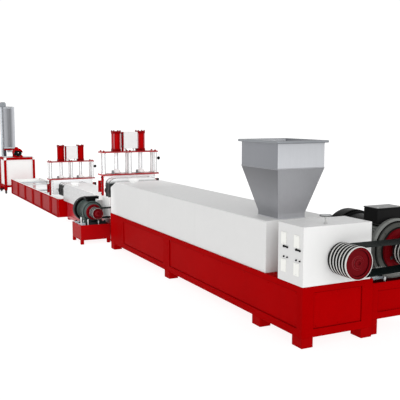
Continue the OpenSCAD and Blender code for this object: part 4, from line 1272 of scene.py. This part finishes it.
def rounded_block(x0, x1, y0, y1, z0, z1, r, b=3.0):
    """Block along x whose two upper long edges are rolled with radius r."""
    pts = [(y0, z0), (y1, z0)]
    for i in range(9):
        q = math.radians(90 * i / 8)
        pts.append((y1 - r + r * math.cos(q), z1 - r + r * math.sin(q)))
    for i in range(9):
        q = math.radians(90 + 90 * i / 8)
        pts.append((y0 + r + r * math.cos(q), z1 - r + r * math.sin(q)))
    V, F, E = [], [], []
    n = len(pts)
    xs = [(x0, b), (x0 + b, 0.0), (x1 - b, 0.0), (x1, b)]
    cy, cz = (y0 + y1) / 2, (z0 + z1) / 2
    for x, ins in xs:
        for y, z in pts:
            ky = 1 - ins / ((y1 - y0) / 2)
            kz = 1 - ins / ((z1 - z0) / 2)
            V.append((x, cy + (y - cy) * ky, cz + (z - cz) * kz))
    for j in range(len(xs) - 1):
        for i in range(n):
            i2 = (i + 1) % n
            F.append((j * n + i, j * n + i2, (j + 1) * n + i2, (j + 1) * n + i)); E.append(1.0 if j != 1 else 0.0)
    F.append(tuple(range(n - 1, -1, -1))); E.append(0.0)
    F.append(tuple((len(xs) - 1) * n + i for i in range(n))); E.append(0.0)
    return np.array(V, float), F, E, [0] * len(F)


k.add(rounded_block(-4815, -4636, -8, 716, 720, 975, 96))
k.add(rounded_block(-4806, -4788, -12, 720, 717, 979, 98), mat=1)
k.add(rounded_block(-4672, -4654, -12, 720, 717, 979, 98), mat=1)
k.add(rounded_block(-7870, -7545, 112, 596, 420, 640, 70), mat=4)
for x in (-7860, -7720, -7580):
    k.add(rounded_block(x, x + 18, 108, 600, 417, 644, 72), mat=1)
for x, y0, z in ((-4797, -12, 800), (-4663, -12, 800), (-7851, 108, 500), (-7711, 108, 500), (-7571, 108, 500)):
    k.box(x - 12, x + 12, y0 - 10, y0 + 2, z - 30, z + 30, 3, 1)
    k.bolt((x, y0 - 10, z), (0, -1, 0), 10, 7, 1)
tint(k, lambda c, n: 3 if n[2] > 0.70 and (c[2] > 880 if c[0] > -6000 else c[2] > 590) else None)
piece("barrel_end_lagging", k, [M.lag, M.dark, M.zinc, M.lagtop, M.lag2], replaces=["changer_adapters"], smooth=34)

k = Kit().add(cad("changer_bodies", 4.0, 2))
for i in (0, 1):
    x0, x1 = CHX[i] - 85, CHX[i] + (85 if i == 0 else 110)
    z0, z1 = 720 + CHDZ[i] + (0 if i == 0 else 22), CH_Z + CHDZ[i]
    # face plates on the line's end, rows of bolts down both sides
    for x, d in ((x1, 1), (x0, -1)):
        for y in (4, 740):
            for z in row_of(z0 + 24, z1 - 24, 46):
                if d < 0 and 30 < z - (760 + CHDZ[i]) < 130:
                    continue
                if i == 0 and d > 0 and y < 700:
                    continue
                k.bolt((x, y, z), (d, 0, 0), 15, 9, 1)
    for y, d in ((-10, -1), (754, 1)):
        for x in (x0 + 18, x1 - 18):
            for z in row_of(z0 + 24, z1 - 24, 60):
                k.bolt((x, y, z), (0, d, 0), 13, 8, 1)
    # parting line of the screen slide
    k.box(x1 - 1, x1 + 3, 60, 684, z0 + 96, z0 + 104, 1, 2)
    k.box(x0 - 3, x0 + 1, 60, 684, z1 - 30, z1 - 24, 1, 2)
piece("changer_blocks", k, [M.greyp, M.zinc, M.dark], replaces=["changer_bodies"])

k = Kit().add(cad("changer_plates", 2.5, 2))
for i in (0, 1):
    for s in (-1, 1):
        for kk_ in (-1, 0, 1):
            x, y = CHX[i] + 70 * s, CH_Y + 392 * kk_
            k.bolt((x, y, UP + 18 + CHDZ[i]), ZD, 22, 11, 0, stud=5)
    # edge screws of the lower plate
    for y in (-36, 90, 290, 455, 655, 790):
        for s in (-1, 1):
            k.screw((CHX[i] + 97 * s, y, CH_Z + CHDZ[i] + 20), ZD, 6, 3.4, 1)
piece("changer_deck_plates", k, [M.redq, M.dark], replaces=["changer_plates"])

k = Kit()
for i in (0, 1):
    for s in (-1, 1):
        for kk_ in (-1, 0, 1):
            x, y, z = CHX[i] + 70 * s, CH_Y + 392 * kk_, 1028 + CHDZ[i]
            k.add(lathe([(0, 0), (30, 0), (30, 9), (23.5, 12), (22, 14), (22, 286), (23.5, 288), (28, 291), (28, 300), (0, 300)], 40, 1.2, 2), (x, y, z))
piece("guide_columns", k, [M.column], replaces=["changer_columns"], smooth=34)

k = Kit()
for i in (0, 1):
    for y in RODY:
        x, z = CHX[i], UP + 18 + CHDZ[i]
        # heads with the rod's bore through the lower one
        k.add(loft([(-58, 58, -58, 58, 9, 1.5), (-58, 58, -58, 58, 9, 34), (-56, 56, -56, 56, 9, 36), (-31, 31, -31, 31, 30.9, 36), (-31, 31, -31, 31, 30.9, 0), (-56, 56, -56, 56, 9, 0)], 6), (x, y, z), None, 0)
        k.add(loft([(-56, 56, -56, 56, 9, 252), (-58, 58, -58, 58, 9, 254), (-58, 58, -58, 58, 9, 283), (-55, 55, -55, 55, 9, 286)], 6, False), (x, y, z), None, 3)
        k.add(lathe([(31, 36), (55, 36), (55, 44), (54, 46), (54, 242), (55, 244), (55, 252), (31, 252)], 56, 0.8, 2), (x, y, z), None, 1 if i == 0 else 4)
        # tie rods with nuts; the first stage's rods take a pinkish grey: painted reflection of the red barrels
        for a in (-46, 46):
            for b in (-46, 46):
                k.cyl((x + a, y + b, z + 36), ZD, 8, 216, 0.5, 2 if i == 0 else 4, 18)
                k.bolt((x + a, y + b, z + 286), ZD, 17, 10, 3, stud=2)
        # oil ports
        for zz in (18, 268):
            k.add(hexnut(24, 11), (x + 58, y, z + zz), RX, 3)
            k.cyl((x + 69, y, z + zz), XD, 9, 10, 2, 3, 20)
piece("tie_rod_cylinders", k, [M.redd, M.redc, M.redr, M.redd, M.redc2], replaces=["changer_cylinders"], smooth=34)

k = Kit().add(cad("changer_brackets", 2.5, 2))
for i in (0, 1):
    z0 = 720 + CHDZ[i]
    for y, d in ((-36, -1), (780, 1)):
        for z in row_of(z0 + 30, z0 + 258, 76):
            k.bolt((CHX[i] + 1, y, z), (0, d, 0), 14, 8, 1)
    for y in (-30, 820):
        for z in (790, 890):
            k.bolt((CHX[i] - 105, y, z + CHDZ[i]), (-1, 0, 0), 16, 9, 1)
    # closed ends of the cross beams
    k.box(CHX[i] - 105.6, CHX[i] - 84.4, 846, 888, 760 + 5 * i + CHDZ[i], 926 - 6 * i + CHDZ[i], 2, 3)
    for x in (52, 88):
        k.bolt((CHX[i] + x, 255, UP + 18 + CHDZ[i] + 70), (0, -1, 0), 10, 6, 1)
        k.bolt((CHX[i] + x, 255, UP + 18 + CHDZ[i] + 240), (0, -1, 0), 10, 6, 1)
    # small limit switches beside the rod ends, on the lower plate
    for y in RODY:
        z = CH_Z + CHDZ[i] + 20
        k.box(CHX[i] + 38, CHX[i] + 82, y - 96, y - 62, z, z + 5, 1.2, 2)
        k.box(CHX[i] + 45, CHX[i] + 75, y - 90, y - 63, z + 4, z + 50, 3, 2)
        k.cyl((CHX[i] + 75, y - 76, z + 38), XD, 6, 3, 1, 2, 20)
piece("changer_side_brackets", k, [M.redd, M.dark, M.switch, M.beamend], replaces=["changer_brackets"])

k = Kit()
for i in (0, 1):
    x0, x1, y0, y1 = CHX[i] - 20, CHX[i] + 105, 270, 482
    z0, z1 = UP + 18 + 40 + CHDZ[i], UP + 18 + 276 + CHDZ[i]
    k.box(x0, x1 - 9, y0, y1, z0, z1, 3.5, 0, 3)
    k.box(x1 - 7.5, x1, y0 + 1.5, y1 - 1.5, z0 + 1.5, z1 - 1.5, 2.5, 0, 3)
    k.box(x1 - 12, x1 - 6, y0 + 7, y1 - 7, z0 + 7, z1 - 7, 1, 1)
    for z in (z0 + 40, z1 - 40):
        k.cyl((x1 - 5, y0 - 1.5, z - 14), ZD, 4.2, 28, 1.2, 1, 18)
    k.cyl((x1 - 0.5, y1 - 18, (z0 + z1) / 2), XD, 8, 3, 1, 2, 24)
    k.cyl((x1 + 2, y1 - 18, (z0 + z1) / 2), XD, 4, 2, 0.6, 1, 18)
    for y in (y0 + 45, y1 - 45):
        k.add(hexnut(24, 9), (CHX[i] + 40, y, z0), np.diag([1.0, -1.0, -1.0]), 2)
        k.cyl((CHX[i] + 40, y, z0 - 40), ZD, 8, 34, 1.5, 2, 20)
piece("control_boxes", k, [M.whiteb, M.switch, M.zinc], replaces=["changer_control_boxes"])

k = Kit()
for i in (0, 1):
    x, y, z = CHX[i] + 70, CH_Y + 392 + 22, CH_Z + 229 + CHDZ[i]
    k.add(lathe([(0, -6), (9, -6), (9, 4), (6, 7), (6, 12), (0, 12)], 24, 0.8, 2), (x, y, z), RY, 1)
    rb = 24 if i == 0 else 27
    ball = [(0, 0)] + [(rb * math.sin(math.radians(a)), rb - rb * math.cos(math.radians(a))) for a in range(12, 180, 12)] + [(0, 2 * rb)]
    k.add(lathe(ball, 32), (x, y + 6, z), RY, 0)
piece("ball_knobs", k, [M.blackpl, M.zinc], replaces=["changer_knobs"], smooth=60)

for i, stage in ((0, "first"), (1, "second")):
    for y, side in ((RODY[0], "near"), (RODY[1], "far")):
        node = f"{stage}_{side}_rod"
        dome = [(0, 6), (52, 6), (56, 9), (56, 23), (54.5, 30), (50.5, 38), (45, 45), (39, 50), (32, 54), (28.4, 56)]
        rod = [(28.4, 59), (27, 61), (27, 65), (28, 67), (28, 384), (22, 390), (0, 390)]
        pts = dome + rod
        mats = [0] * (len(dome)) + [1] * (len(rod) - 1)
        kit = Kit().add(lathe(pts, 64, 0.8, 2, mats), (CHX[i], y, 1028 + CHDZ[i]))
        piece(f"{stage}_{side}_piston_rod", kit, [M.foot, M.chrome], node, [node], smooth=34)


# ------------------------------------------------------------------ water trough
TX0, TX1, TW, TT = -11850, -7550, 700, 375
k = Kit().add(cad("trough_side_frames", 1.6, 2))
tint(k, lambda c, n: 1 if c[2] > 368 and (n[2] > 0.5 or 24 < c[1] < 676) else None)
piece("trough_posts_and_rails", k, [M.red, M.liner], replaces=["trough_side_frames"])
k = Kit().add(cad("trough_side_walls", 0.8, 1))
tint(k, lambda c, n: 1 if (n[1] > 0.5 and 16 < c[1] < 350) or (n[1] < -0.5 and 350 < c[1] < 684) else None)
piece("trough_wall_sheets", k, [M.redt, M.liner], replaces=["trough_side_walls"])
k = Kit().add(cad("trough_end_walls", 1.2, 1))
for x, d in ((TX0, -1), (TX1, 1)):
    k.box(x - (3 if d < 0 else 0), x + (3 if d > 0 else 0), 60, 640, 352, 364, 1.2)
# drain stub with its cap at the far end
k.cyl((TX0 - 26, 350, 105), XD, 24, 28, 2, 1, 32)
k.add(hexnut(62, 14), (TX0 - 40, 350, 105), RX, 1)
tint(k, lambda c, n: 2 if (n[0] > 0.5 and -11839 < c[0] < -11700) or (n[0] < -0.5 and -7600 < c[0] < -7561) else None)
piece("trough_end_sheets", k, [M.rede, M.zinc, M.liner], replaces=["trough_end_walls"])
k = Kit().add(cad("trough_floor", 0.8, 1))
piece("trough_floor_sheet", k, [M.pipe], replaces=["trough_floor"])
k = Kit()
for x in (-11170, -9400):
    k.add(lathe([(0, 0), (9, 0), (9, 10), (16, 12), (16, 38), (14.6, 40), (14.6, 44), (16, 46), (16, 620), (14.6, 622), (14.6, 626), (16, 628), (16, 654), (9, 656), (9, 666), (0, 666)], 32, 0.8, 2), (x, 17, 343), RY, 0)
    for y, d in ((17, 1), (683, -1)):
        k.box(x - 22, x + 22, min(y, y + 6 * d), max(y, y + 6 * d), 318, 368, 1.5, 1)
        for dz in (-19, 17):
            k.screw((x + 14, y + 6 * d, 343 + dz), (0, d, 0), 3.6, 2, 0)
            k.screw((x - 14, y + 6 * d, 343 + dz), (0, d, 0), 3.6, 2, 0)
piece("strand_guide_rollers", k, [M.pipe, M.zinc], replaces=["trough_rollers"], smooth=34)

# still water: one closed sheet with slow ripples
nx, ny = 172, 28
V, F = [], []
zs = 316.0
for j in range(ny + 1):
    for i in range(nx + 1):
        x = TX0 + 12.5 + (4300 - 25) * i / nx
        y = 17.5 + (TW - 35) * j / ny
        h = 0.9 * math.sin(x / 97.0 + 0.8 * math.sin(y / 143.0)) + 0.7 * math.sin(y / 61.0 + x / 211.0)
        V.append((x, y, zs + h))
for j in range(ny):
    for i in range(nx):
        a = j * (nx + 1) + i
        F.append((a, a + 1, a + nx + 2, a + nx + 1))
top_n = len(V)
rim = [i for i in range(nx + 1)] + [j * (nx + 1) + nx for j in range(1, ny + 1)] + \
      [ny * (nx + 1) + i for i in range(nx - 1, -1, -1)] + [j * (nx + 1) for j in range(ny - 1, 0, -1)]
low = {}
for q in rim:
    low[q] = len(V)
    V.append((V[q][0], V[q][1], zs - 6))
for a, b in zip(rim, rim[1:] + rim[:1]):
    F.append((b, a, low[a], low[b]))
F.append(tuple(low[q] for q in reversed(rim)))
k = Kit().add((np.array(V, float), F, [0.0] * len(F), [0] * len(F)))
piece("trough_water", k, [M.water], smooth=30)

# ------------------------------------------------------------------ pelletizer
PX, PY, TUBE, PT = (-12800, -12150 - 55), (-92, 642 - 55), 55, 865
k = Kit().add(cad("pelletizer_frame", 5.0, 3))
piece("pelletizer_posts", k, [M.red], replaces=["pelletizer_frame"])
k = Kit().add(cad("pelletizer_rails", 4.0, 3))
piece("pelletizer_tube_rails", k, [M.red], replaces=["pelletizer_rails"])
k = Kit().add(cad("pelletizer_corners", 7.0, 3))
for x in (PX[0] + 28, PX[1] + 27):
    for y in (PY[0] + 28, PY[1] + 27):
        k.screw((x, y, PT), ZD, 6, 2.4, 1)
for x, d in ((PX[0], -1), (PX[1] + TUBE, 1)):
    for y in (PY[0] + 28, PY[1] + 27):
        k.screw((x, y, PT - 30), (d, 0, 0), 6, 2.4, 1)
for y, d in ((PY[0], -1), (PY[1] + TUBE, 1)):
    for x in (PX[0] + 28, PX[1] + 27):
        k.screw((x, y, PT - 30), (0, d, 0), 6, 2.4, 1)
piece("pelletizer_corner_cubes", k, [M.cube, M.zinc], replaces=["pelletizer_corners"])
k = Kit().add(cad("pelletizer_panels", 1.0, 1))
for y, d in ((PY[0] + 24, -1), (PY[1] + 32, 1)):
    for x in row_of(PX[0] + 55 + 22, PX[1] - 22, 250):
        for z in (222, 783):
            k.screw((x, y, z), (0, d, 0), 5, 2.6, 1)
for x, d in ((PX[0] + 24, -1), (PX[1] + 32, 1)):
    for y in row_of(PY[0] + 55 + 22, PY[1] - 22, 250):
        for z in (222, 783):
            k.screw((x, y, z), (d, 0, 0), 5, 2.6, 1)
# pellet outlet on the silo's side
k.box(PX[0] + 8, PX[0] + 26, 170, 370, 330, 480, 3, 2)
k.box(PX[0] + 5, PX[0] + 10, 186, 354, 346, 464, 1, 3)
piece("pelletizer_sheet_panels", k, [M.whitep, M.zinc, M.pipe, M.blackpl], replaces=["pelletizer_panels"])

k = Kit()
pmy, pmz = 252, 975
k.add(lathe([(0, 0), (66, 0), (79, 3), (90, 14), (90, 68), (88, 70), (88, 74), (75, 76), (75, 246), (86, 250), (90, 253), (90, 284), (85, 288), (74, 298), (42, 301), (30, 303), (30, 310), (0, 310)], 72, 1.4, 2), (-12480, pmy, pmz), RX, 0)
for i in range(36):
    q = 10 * i
    R = rx(q)
    k.add(rbox(170, 12, 3.4, 1.1), np.array([-12480 + 161, pmy, pmz]) + R @ np.array([0, 79.5, 0]), R, 0)
for i in range(6):
    q = math.radians(60 * i)
    k.bolt((-12480 + 284, pmy + 79.5 * math.cos(q), pmz + 79.5 * math.sin(q)), XD, 10, 7, 1)
for j in range(5):
    rr = 12 + 12 * j
    k.add(ring(rr + 2, rr - 2, 4, 1, 40), (-12483, pmy, pmz), RX, 0)
k.add(lathe([(0, 0), (11, 0), (11, 6), (0, 6)], 24, 1), (-12172, pmy, pmz), RX, 1)
piece("pelletizer_drive_motor", k, [M.black, M.zinc], replaces=["pelletizer_motor"], smooth=34)

k = Kit().add(cad("pelletizer_motor_mount", 2.0, 2))
for x in (-12400, -12200):
    for y in (pmy - 82, pmy + 108):
        k.bolt((x, y, 868), ZD, 12, 8, 1)
piece("pelletizer_motor_saddle", k, [M.red, M.zinc], replaces=["pelletizer_motor_mount"], smooth=30)

k = Kit()
for x in (PX[0] + 28, PX[1] + 27):
    for y in (PY[0] + 28, PY[1] + 27):
        k.add(lathe([(8, -14), (22, -14), (24, -13), (30, -15), (35, -14), (37, -10), (37, 10), (35, 14), (30, 15), (24, 13), (22, 14), (8, 14)], 48, 0.8, 2), (x, y, 37), RY, 0)
        k.add(lathe([(0, -24), (7, -24), (7, 24), (0, 24)], 20, 1), (x, y, 37), RY, 1)
        for s in (-1, 1):
            k.add(hexnut(13, 5), (x, y + s * 21.5, 37), RY if s > 0 else RYN, 1)
            k.add(prism([(-12, 22), (12, 22), (16, 74), (-16, 74)], 4.5, 1.2), (x, y + s * 17 + (2.2 if s < 0 else 2.3), 0), np.array([[1.0, 0, 0], [0, 0, -1.0], [0, 1.0, 0]]), 1)
        k.add(ring(24, 8, 8, 1.5, 32), (x, y, 69), None, 1)
        k.box(x - 26, x + 26, y - 26, y + 26, 77, 85, 2, 1)
        for a in (-19, 19):
            for b in (-19, 19):
                k.add(hexnut(9, 5), (x + a, y + b, 77), np.diag([1.0, -1.0, -1.0]), 1)
piece("swivel_casters", k, [M.tyre, M.black], replaces=["pelletizer_casters"], smooth=34)

# ------------------------------------------------------------------ silo
SX, SY = -13250, 250
k = Kit()
prof = [(143, 1040), (147, 1040), (147, 1052), (147.0, 1190), (147.0, 1620), (147, 2058), (147, 2070), (143, 2070)]
k.add(lathe(prof, 96), (SX, SY, 0))
# standing seam at the back and the band clamps
k.box(SX - 8, SX + 8, SY + 146, SY + 149.5, 1050, 2062, 0.8)
for z in (1056, 2050):
    k.add(ring(149.2, 146.5, 14, 1.0, 96), (SX, SY, z), None, 1)
piece("silo_wall", k, [M.silo, M.pipe], replaces=["silo_shell"], smooth=34)
k = Kit()
k.add(lathe([(0, 2070), (147, 2070), (149.9, 2071.5), (149.9, 2078), (147, 2080), (120, 2080), (0, 2080)], 96, 0.8, 2), (SX, SY, 0))
k.add(ring(88, 62, 9, 2, 64), (SX + 20, SY + 30, 2080))
for i in range(10):
    q = math.radians(36 * i)
    k.bolt((SX + 138 * math.cos(q), SY + 138 * math.sin(q), 2080), ZD, 8, 5, 1)
piece("silo_roof", k, [M.silo, M.zinc], replaces=["silo_lid"], smooth=34)
k = Kit()
k.add(lathe([(0, 1036), (147, 1036), (147, 1040), (0, 1040)], 96, 0.6, 1), (SX, SY, 0))
k.add(lathe([(0, 1036), (92, 1036), (92, 1030), (58, 990), (58, 940), (52, 936), (0, 936)], 64, 1.5, 2), (SX, SY, 0))
piece("silo_base_plate", k, [M.pipe], replaces=["silo_floor"], smooth=34)
k = Kit().add(cad("silo_stand", 3.0, 2))
for x in (-125, 125):
    for y in (-125, 125):
        k.box(SX + x - 20, SX + x + 20, SY + y - 20, SY + y + 20, 0, 7, 1.5)
# painted shade: the stand's legs and pads take a dark blue-grey, and its top bars below take the dark red
tint(k, lambda c, n: 1)
for s_ in (-1, 1):
    a, b = sorted((s_ * 104.0, s_ * 146.4))
    k.box(SX - 146.4, SX + 146.4, SY + a, SY + b, 994.6, 1035.8, 3, 0)
    k.box(SX + a, SX + b, SY - 104.2, SY + 104.2, 994.6, 1035.8, 3, 0)
piece("silo_leg_frame", k, [M.redd, M.leg], replaces=["silo_stand"])

k = Kit()
k.add(lathe([(0, 500), (34, 500), (34, 512), (28, 514), (28, 1148), (30.5, 1150), (30.5, 1196), (28, 1198), (28, 1700), (30.5, 1702), (30.5, 1748), (28, 1750), (28, 2066), (36, 2068), (36, 2080), (0, 2080)], 40, 1.0, 2), (SX, 70, 0))
elbow = [(38, 2080), (186, 2080), (186, 2162), (160, 2200), (70, 2200), (38, 2170)]
k.add(prism(elbow, 120, 7, 3), (SX - 60, 0, 0), np.array([[0, 0, 1.0], [1.0, 0, 0], [0, 1.0, 0]]), 2)
k.box(SX - 66, SX + 66, 32, 192, 2080, 2088, 2, 2)
for x in (-56, 0, 56):
    for y in (42, 182):
        k.bolt((SX + x, y, 2088), ZD, 9, 5, 1)
for z in (1172, 1724):
    k.box(SX - 8, SX + 8, 97, 108, z - 14, z + 14, 2, 1)
piece("silo_conveying_pipe", k, [M.pipe, M.zinc, M.elbow], replaces=["silo_pipe"], smooth=34)

k = Kit()
# volute casing with a bolted rim, outlet duct, motor and base
k.add(lathe([(0, 0), (70, 0), (78, 4), (140, 6), (150, 12), (150, 66), (140, 72), (60, 74), (56, 78), (0, 78)], 80, 1.6, 2), (SX, 22, 340), RY, 0)
for i in range(12):
    q = math.radians(30 * i + 10)
    k.bolt((SX + 143 * math.cos(q), 95.5, 340 + 143 * math.sin(q)), YD, 8, 5, 2)
k.box(SX - 45, SX + 45, 25, 98, 380, 492, 3, 0)
k.box(SX - 56, SX + 56, 16, 107, 490, 500, 2, 0)
k.add(lathe([(0, 0), (60, 0), (72, 4), (82, 14), (82, 44), (80, 46), (72, 48), (72, 140), (82, 144), (82, 163), (0, 163)], 64, 1.4, 2), (SX, -140, 340), RY, 1)
for i in range(28):
    q = 360 / 28 * i
    c_, s_ = math.cos(math.radians(q)), math.sin(math.radians(q))
    R = np.array([[c_, 0, -s_], [0, 1, 0], [s_, 0, c_]])
    k.add(rbox(10, 92, 3.2, 1), np.array([SX, -140 + 94, 340]) + R @ np.array([76.5, 0, 0]), R, 1)
k.box(SX - 120, SX + 120, -120, 96, 0, 40, 3, 0)
for x in (-110, 80):
    k.box(SX + x, SX + x + 30, 26, 94, 38, 262, 3, 0)
k.box(SX - 50, SX + 50, -100, -20, 38, 262, 4, 1)
for x in (-104, 104):
    for y in (-106, 82):
        k.bolt((SX + x, y, 40), ZD, 13, 8, 2)
piece("conveying_blower", k, [M.maroon, M.motor2, M.zinc], replaces=["silo_blower"], smooth=34)


# ------------------------------------------------------------------ studio
def floor_material():
    m = Mat("studio_floor", 0.6, 0.0, 0.2)
    n = m.noise(0.8, 3, 0.5)
    m.color(m.mix(m.remap(n, 0.3, 0.7, 0, 1), (0.17, 0.17, 0.17, 1), (0.19, 0.19, 0.19, 1)))
    m.rough(m.remap(n, 0.3, 0.7, 0.55, 0.7))
    m.b.inputs["Emission Color"].default_value = (1, 1, 1, 1)
    m.b.inputs["Emission Strength"].default_value = 0.90
    return m.m


bm = bmesh.new()
bmesh.ops.create_grid(bm, x_segments=24, y_segments=24, size=70.0)
me = bpy.data.meshes.new("studio_floor")
bm.to_mesh(me)
bm.free()
me.materials.append(floor_material())
fl = bpy.data.objects.new("studio_floor", me)
fl.location = (0, 0, -0.0015)
bpy.context.scene.collection.objects.link(fl)

world = bpy.data.worlds.new("studio")
bpy.context.scene.world = world
world.use_nodes = True
wt = world.node_tree
wt.nodes.clear()
wo = wt.nodes.new("ShaderNodeOutputWorld")
wb = wt.nodes.new("ShaderNodeBackground")
wc = wt.nodes.new("ShaderNodeTexCoord")
ws = wt.nodes.new("ShaderNodeSeparateXYZ")
wr = wt.nodes.new("ShaderNodeValToRGB")
wt.links.new(wc.outputs["Generated"], ws.inputs[0])
wt.links.new(ws.outputs["Z"], wr.inputs["Fac"])
wt.links.new(wr.outputs["Color"], wb.inputs["Color"])
wt.links.new(wb.outputs["Background"], wo.inputs["Surface"])
wr.color_ramp.elements[0].position = 0.30
wr.color_ramp.elements[0].color = (1.0, 1.0, 1.0, 1)
wr.color_ramp.elements[1].position = 0.95
wr.color_ramp.elements[1].color = (0.50, 0.50, 0.51, 1)
wb.inputs["Strength"].default_value = 1.04


def sun(name, direction, strength, angle):
    d = bpy.data.lights.new(name, "SUN")
    d.energy = strength
    d.angle = math.radians(angle)
    o = bpy.data.objects.new(name, d)
    o.rotation_euler = Vector(direction).to_track_quat("-Z", "Y").to_euler()
    bpy.context.scene.collection.objects.link(o)
    return o


sun("key", (-0.95, 0.10, -0.30), 0.80, 50)


def panel(name, at, to, size, watts):
    """Soft panel light between two points given in the part's own millimetres."""
    d = bpy.data.lights.new(name, "AREA")
    d.energy = watts
    d.shape = "SQUARE"
    d.size = size
    o = bpy.data.objects.new(name, d)
    a, b = Vector(to_row(np.array(at, float)).tolist()), Vector(to_row(np.array(to, float)).tolist())
    o.location = a
    o.rotation_euler = (b - a).to_track_quat("-Z", "Y").to_euler()
    o.visible_camera = False
    bpy.context.scene.collection.objects.link(o)
    return o


panel("fill", (-4720, -650, 950), (-5600, -350, 650), 0.7, 5.0)

cam = bpy.data.cameras.new("camera")
cam.sensor_width = 36.0
cam.sensor_fit = "HORIZONTAL"
cam.lens = 60.297
cam.clip_end = 300
co = bpy.data.objects.new("camera", cam)
co.location = (10.8285, -3.503, 1.835)
co.rotation_euler = (math.radians(82.923), 0, math.radians(63.611))
bpy.context.scene.collection.objects.link(co)
bpy.context.scene.camera = co

vs = bpy.context.scene.view_settings
vs.view_transform = "Standard"
vs.look = "None"
vs.exposure = 0.0
vs.gamma = 1.0
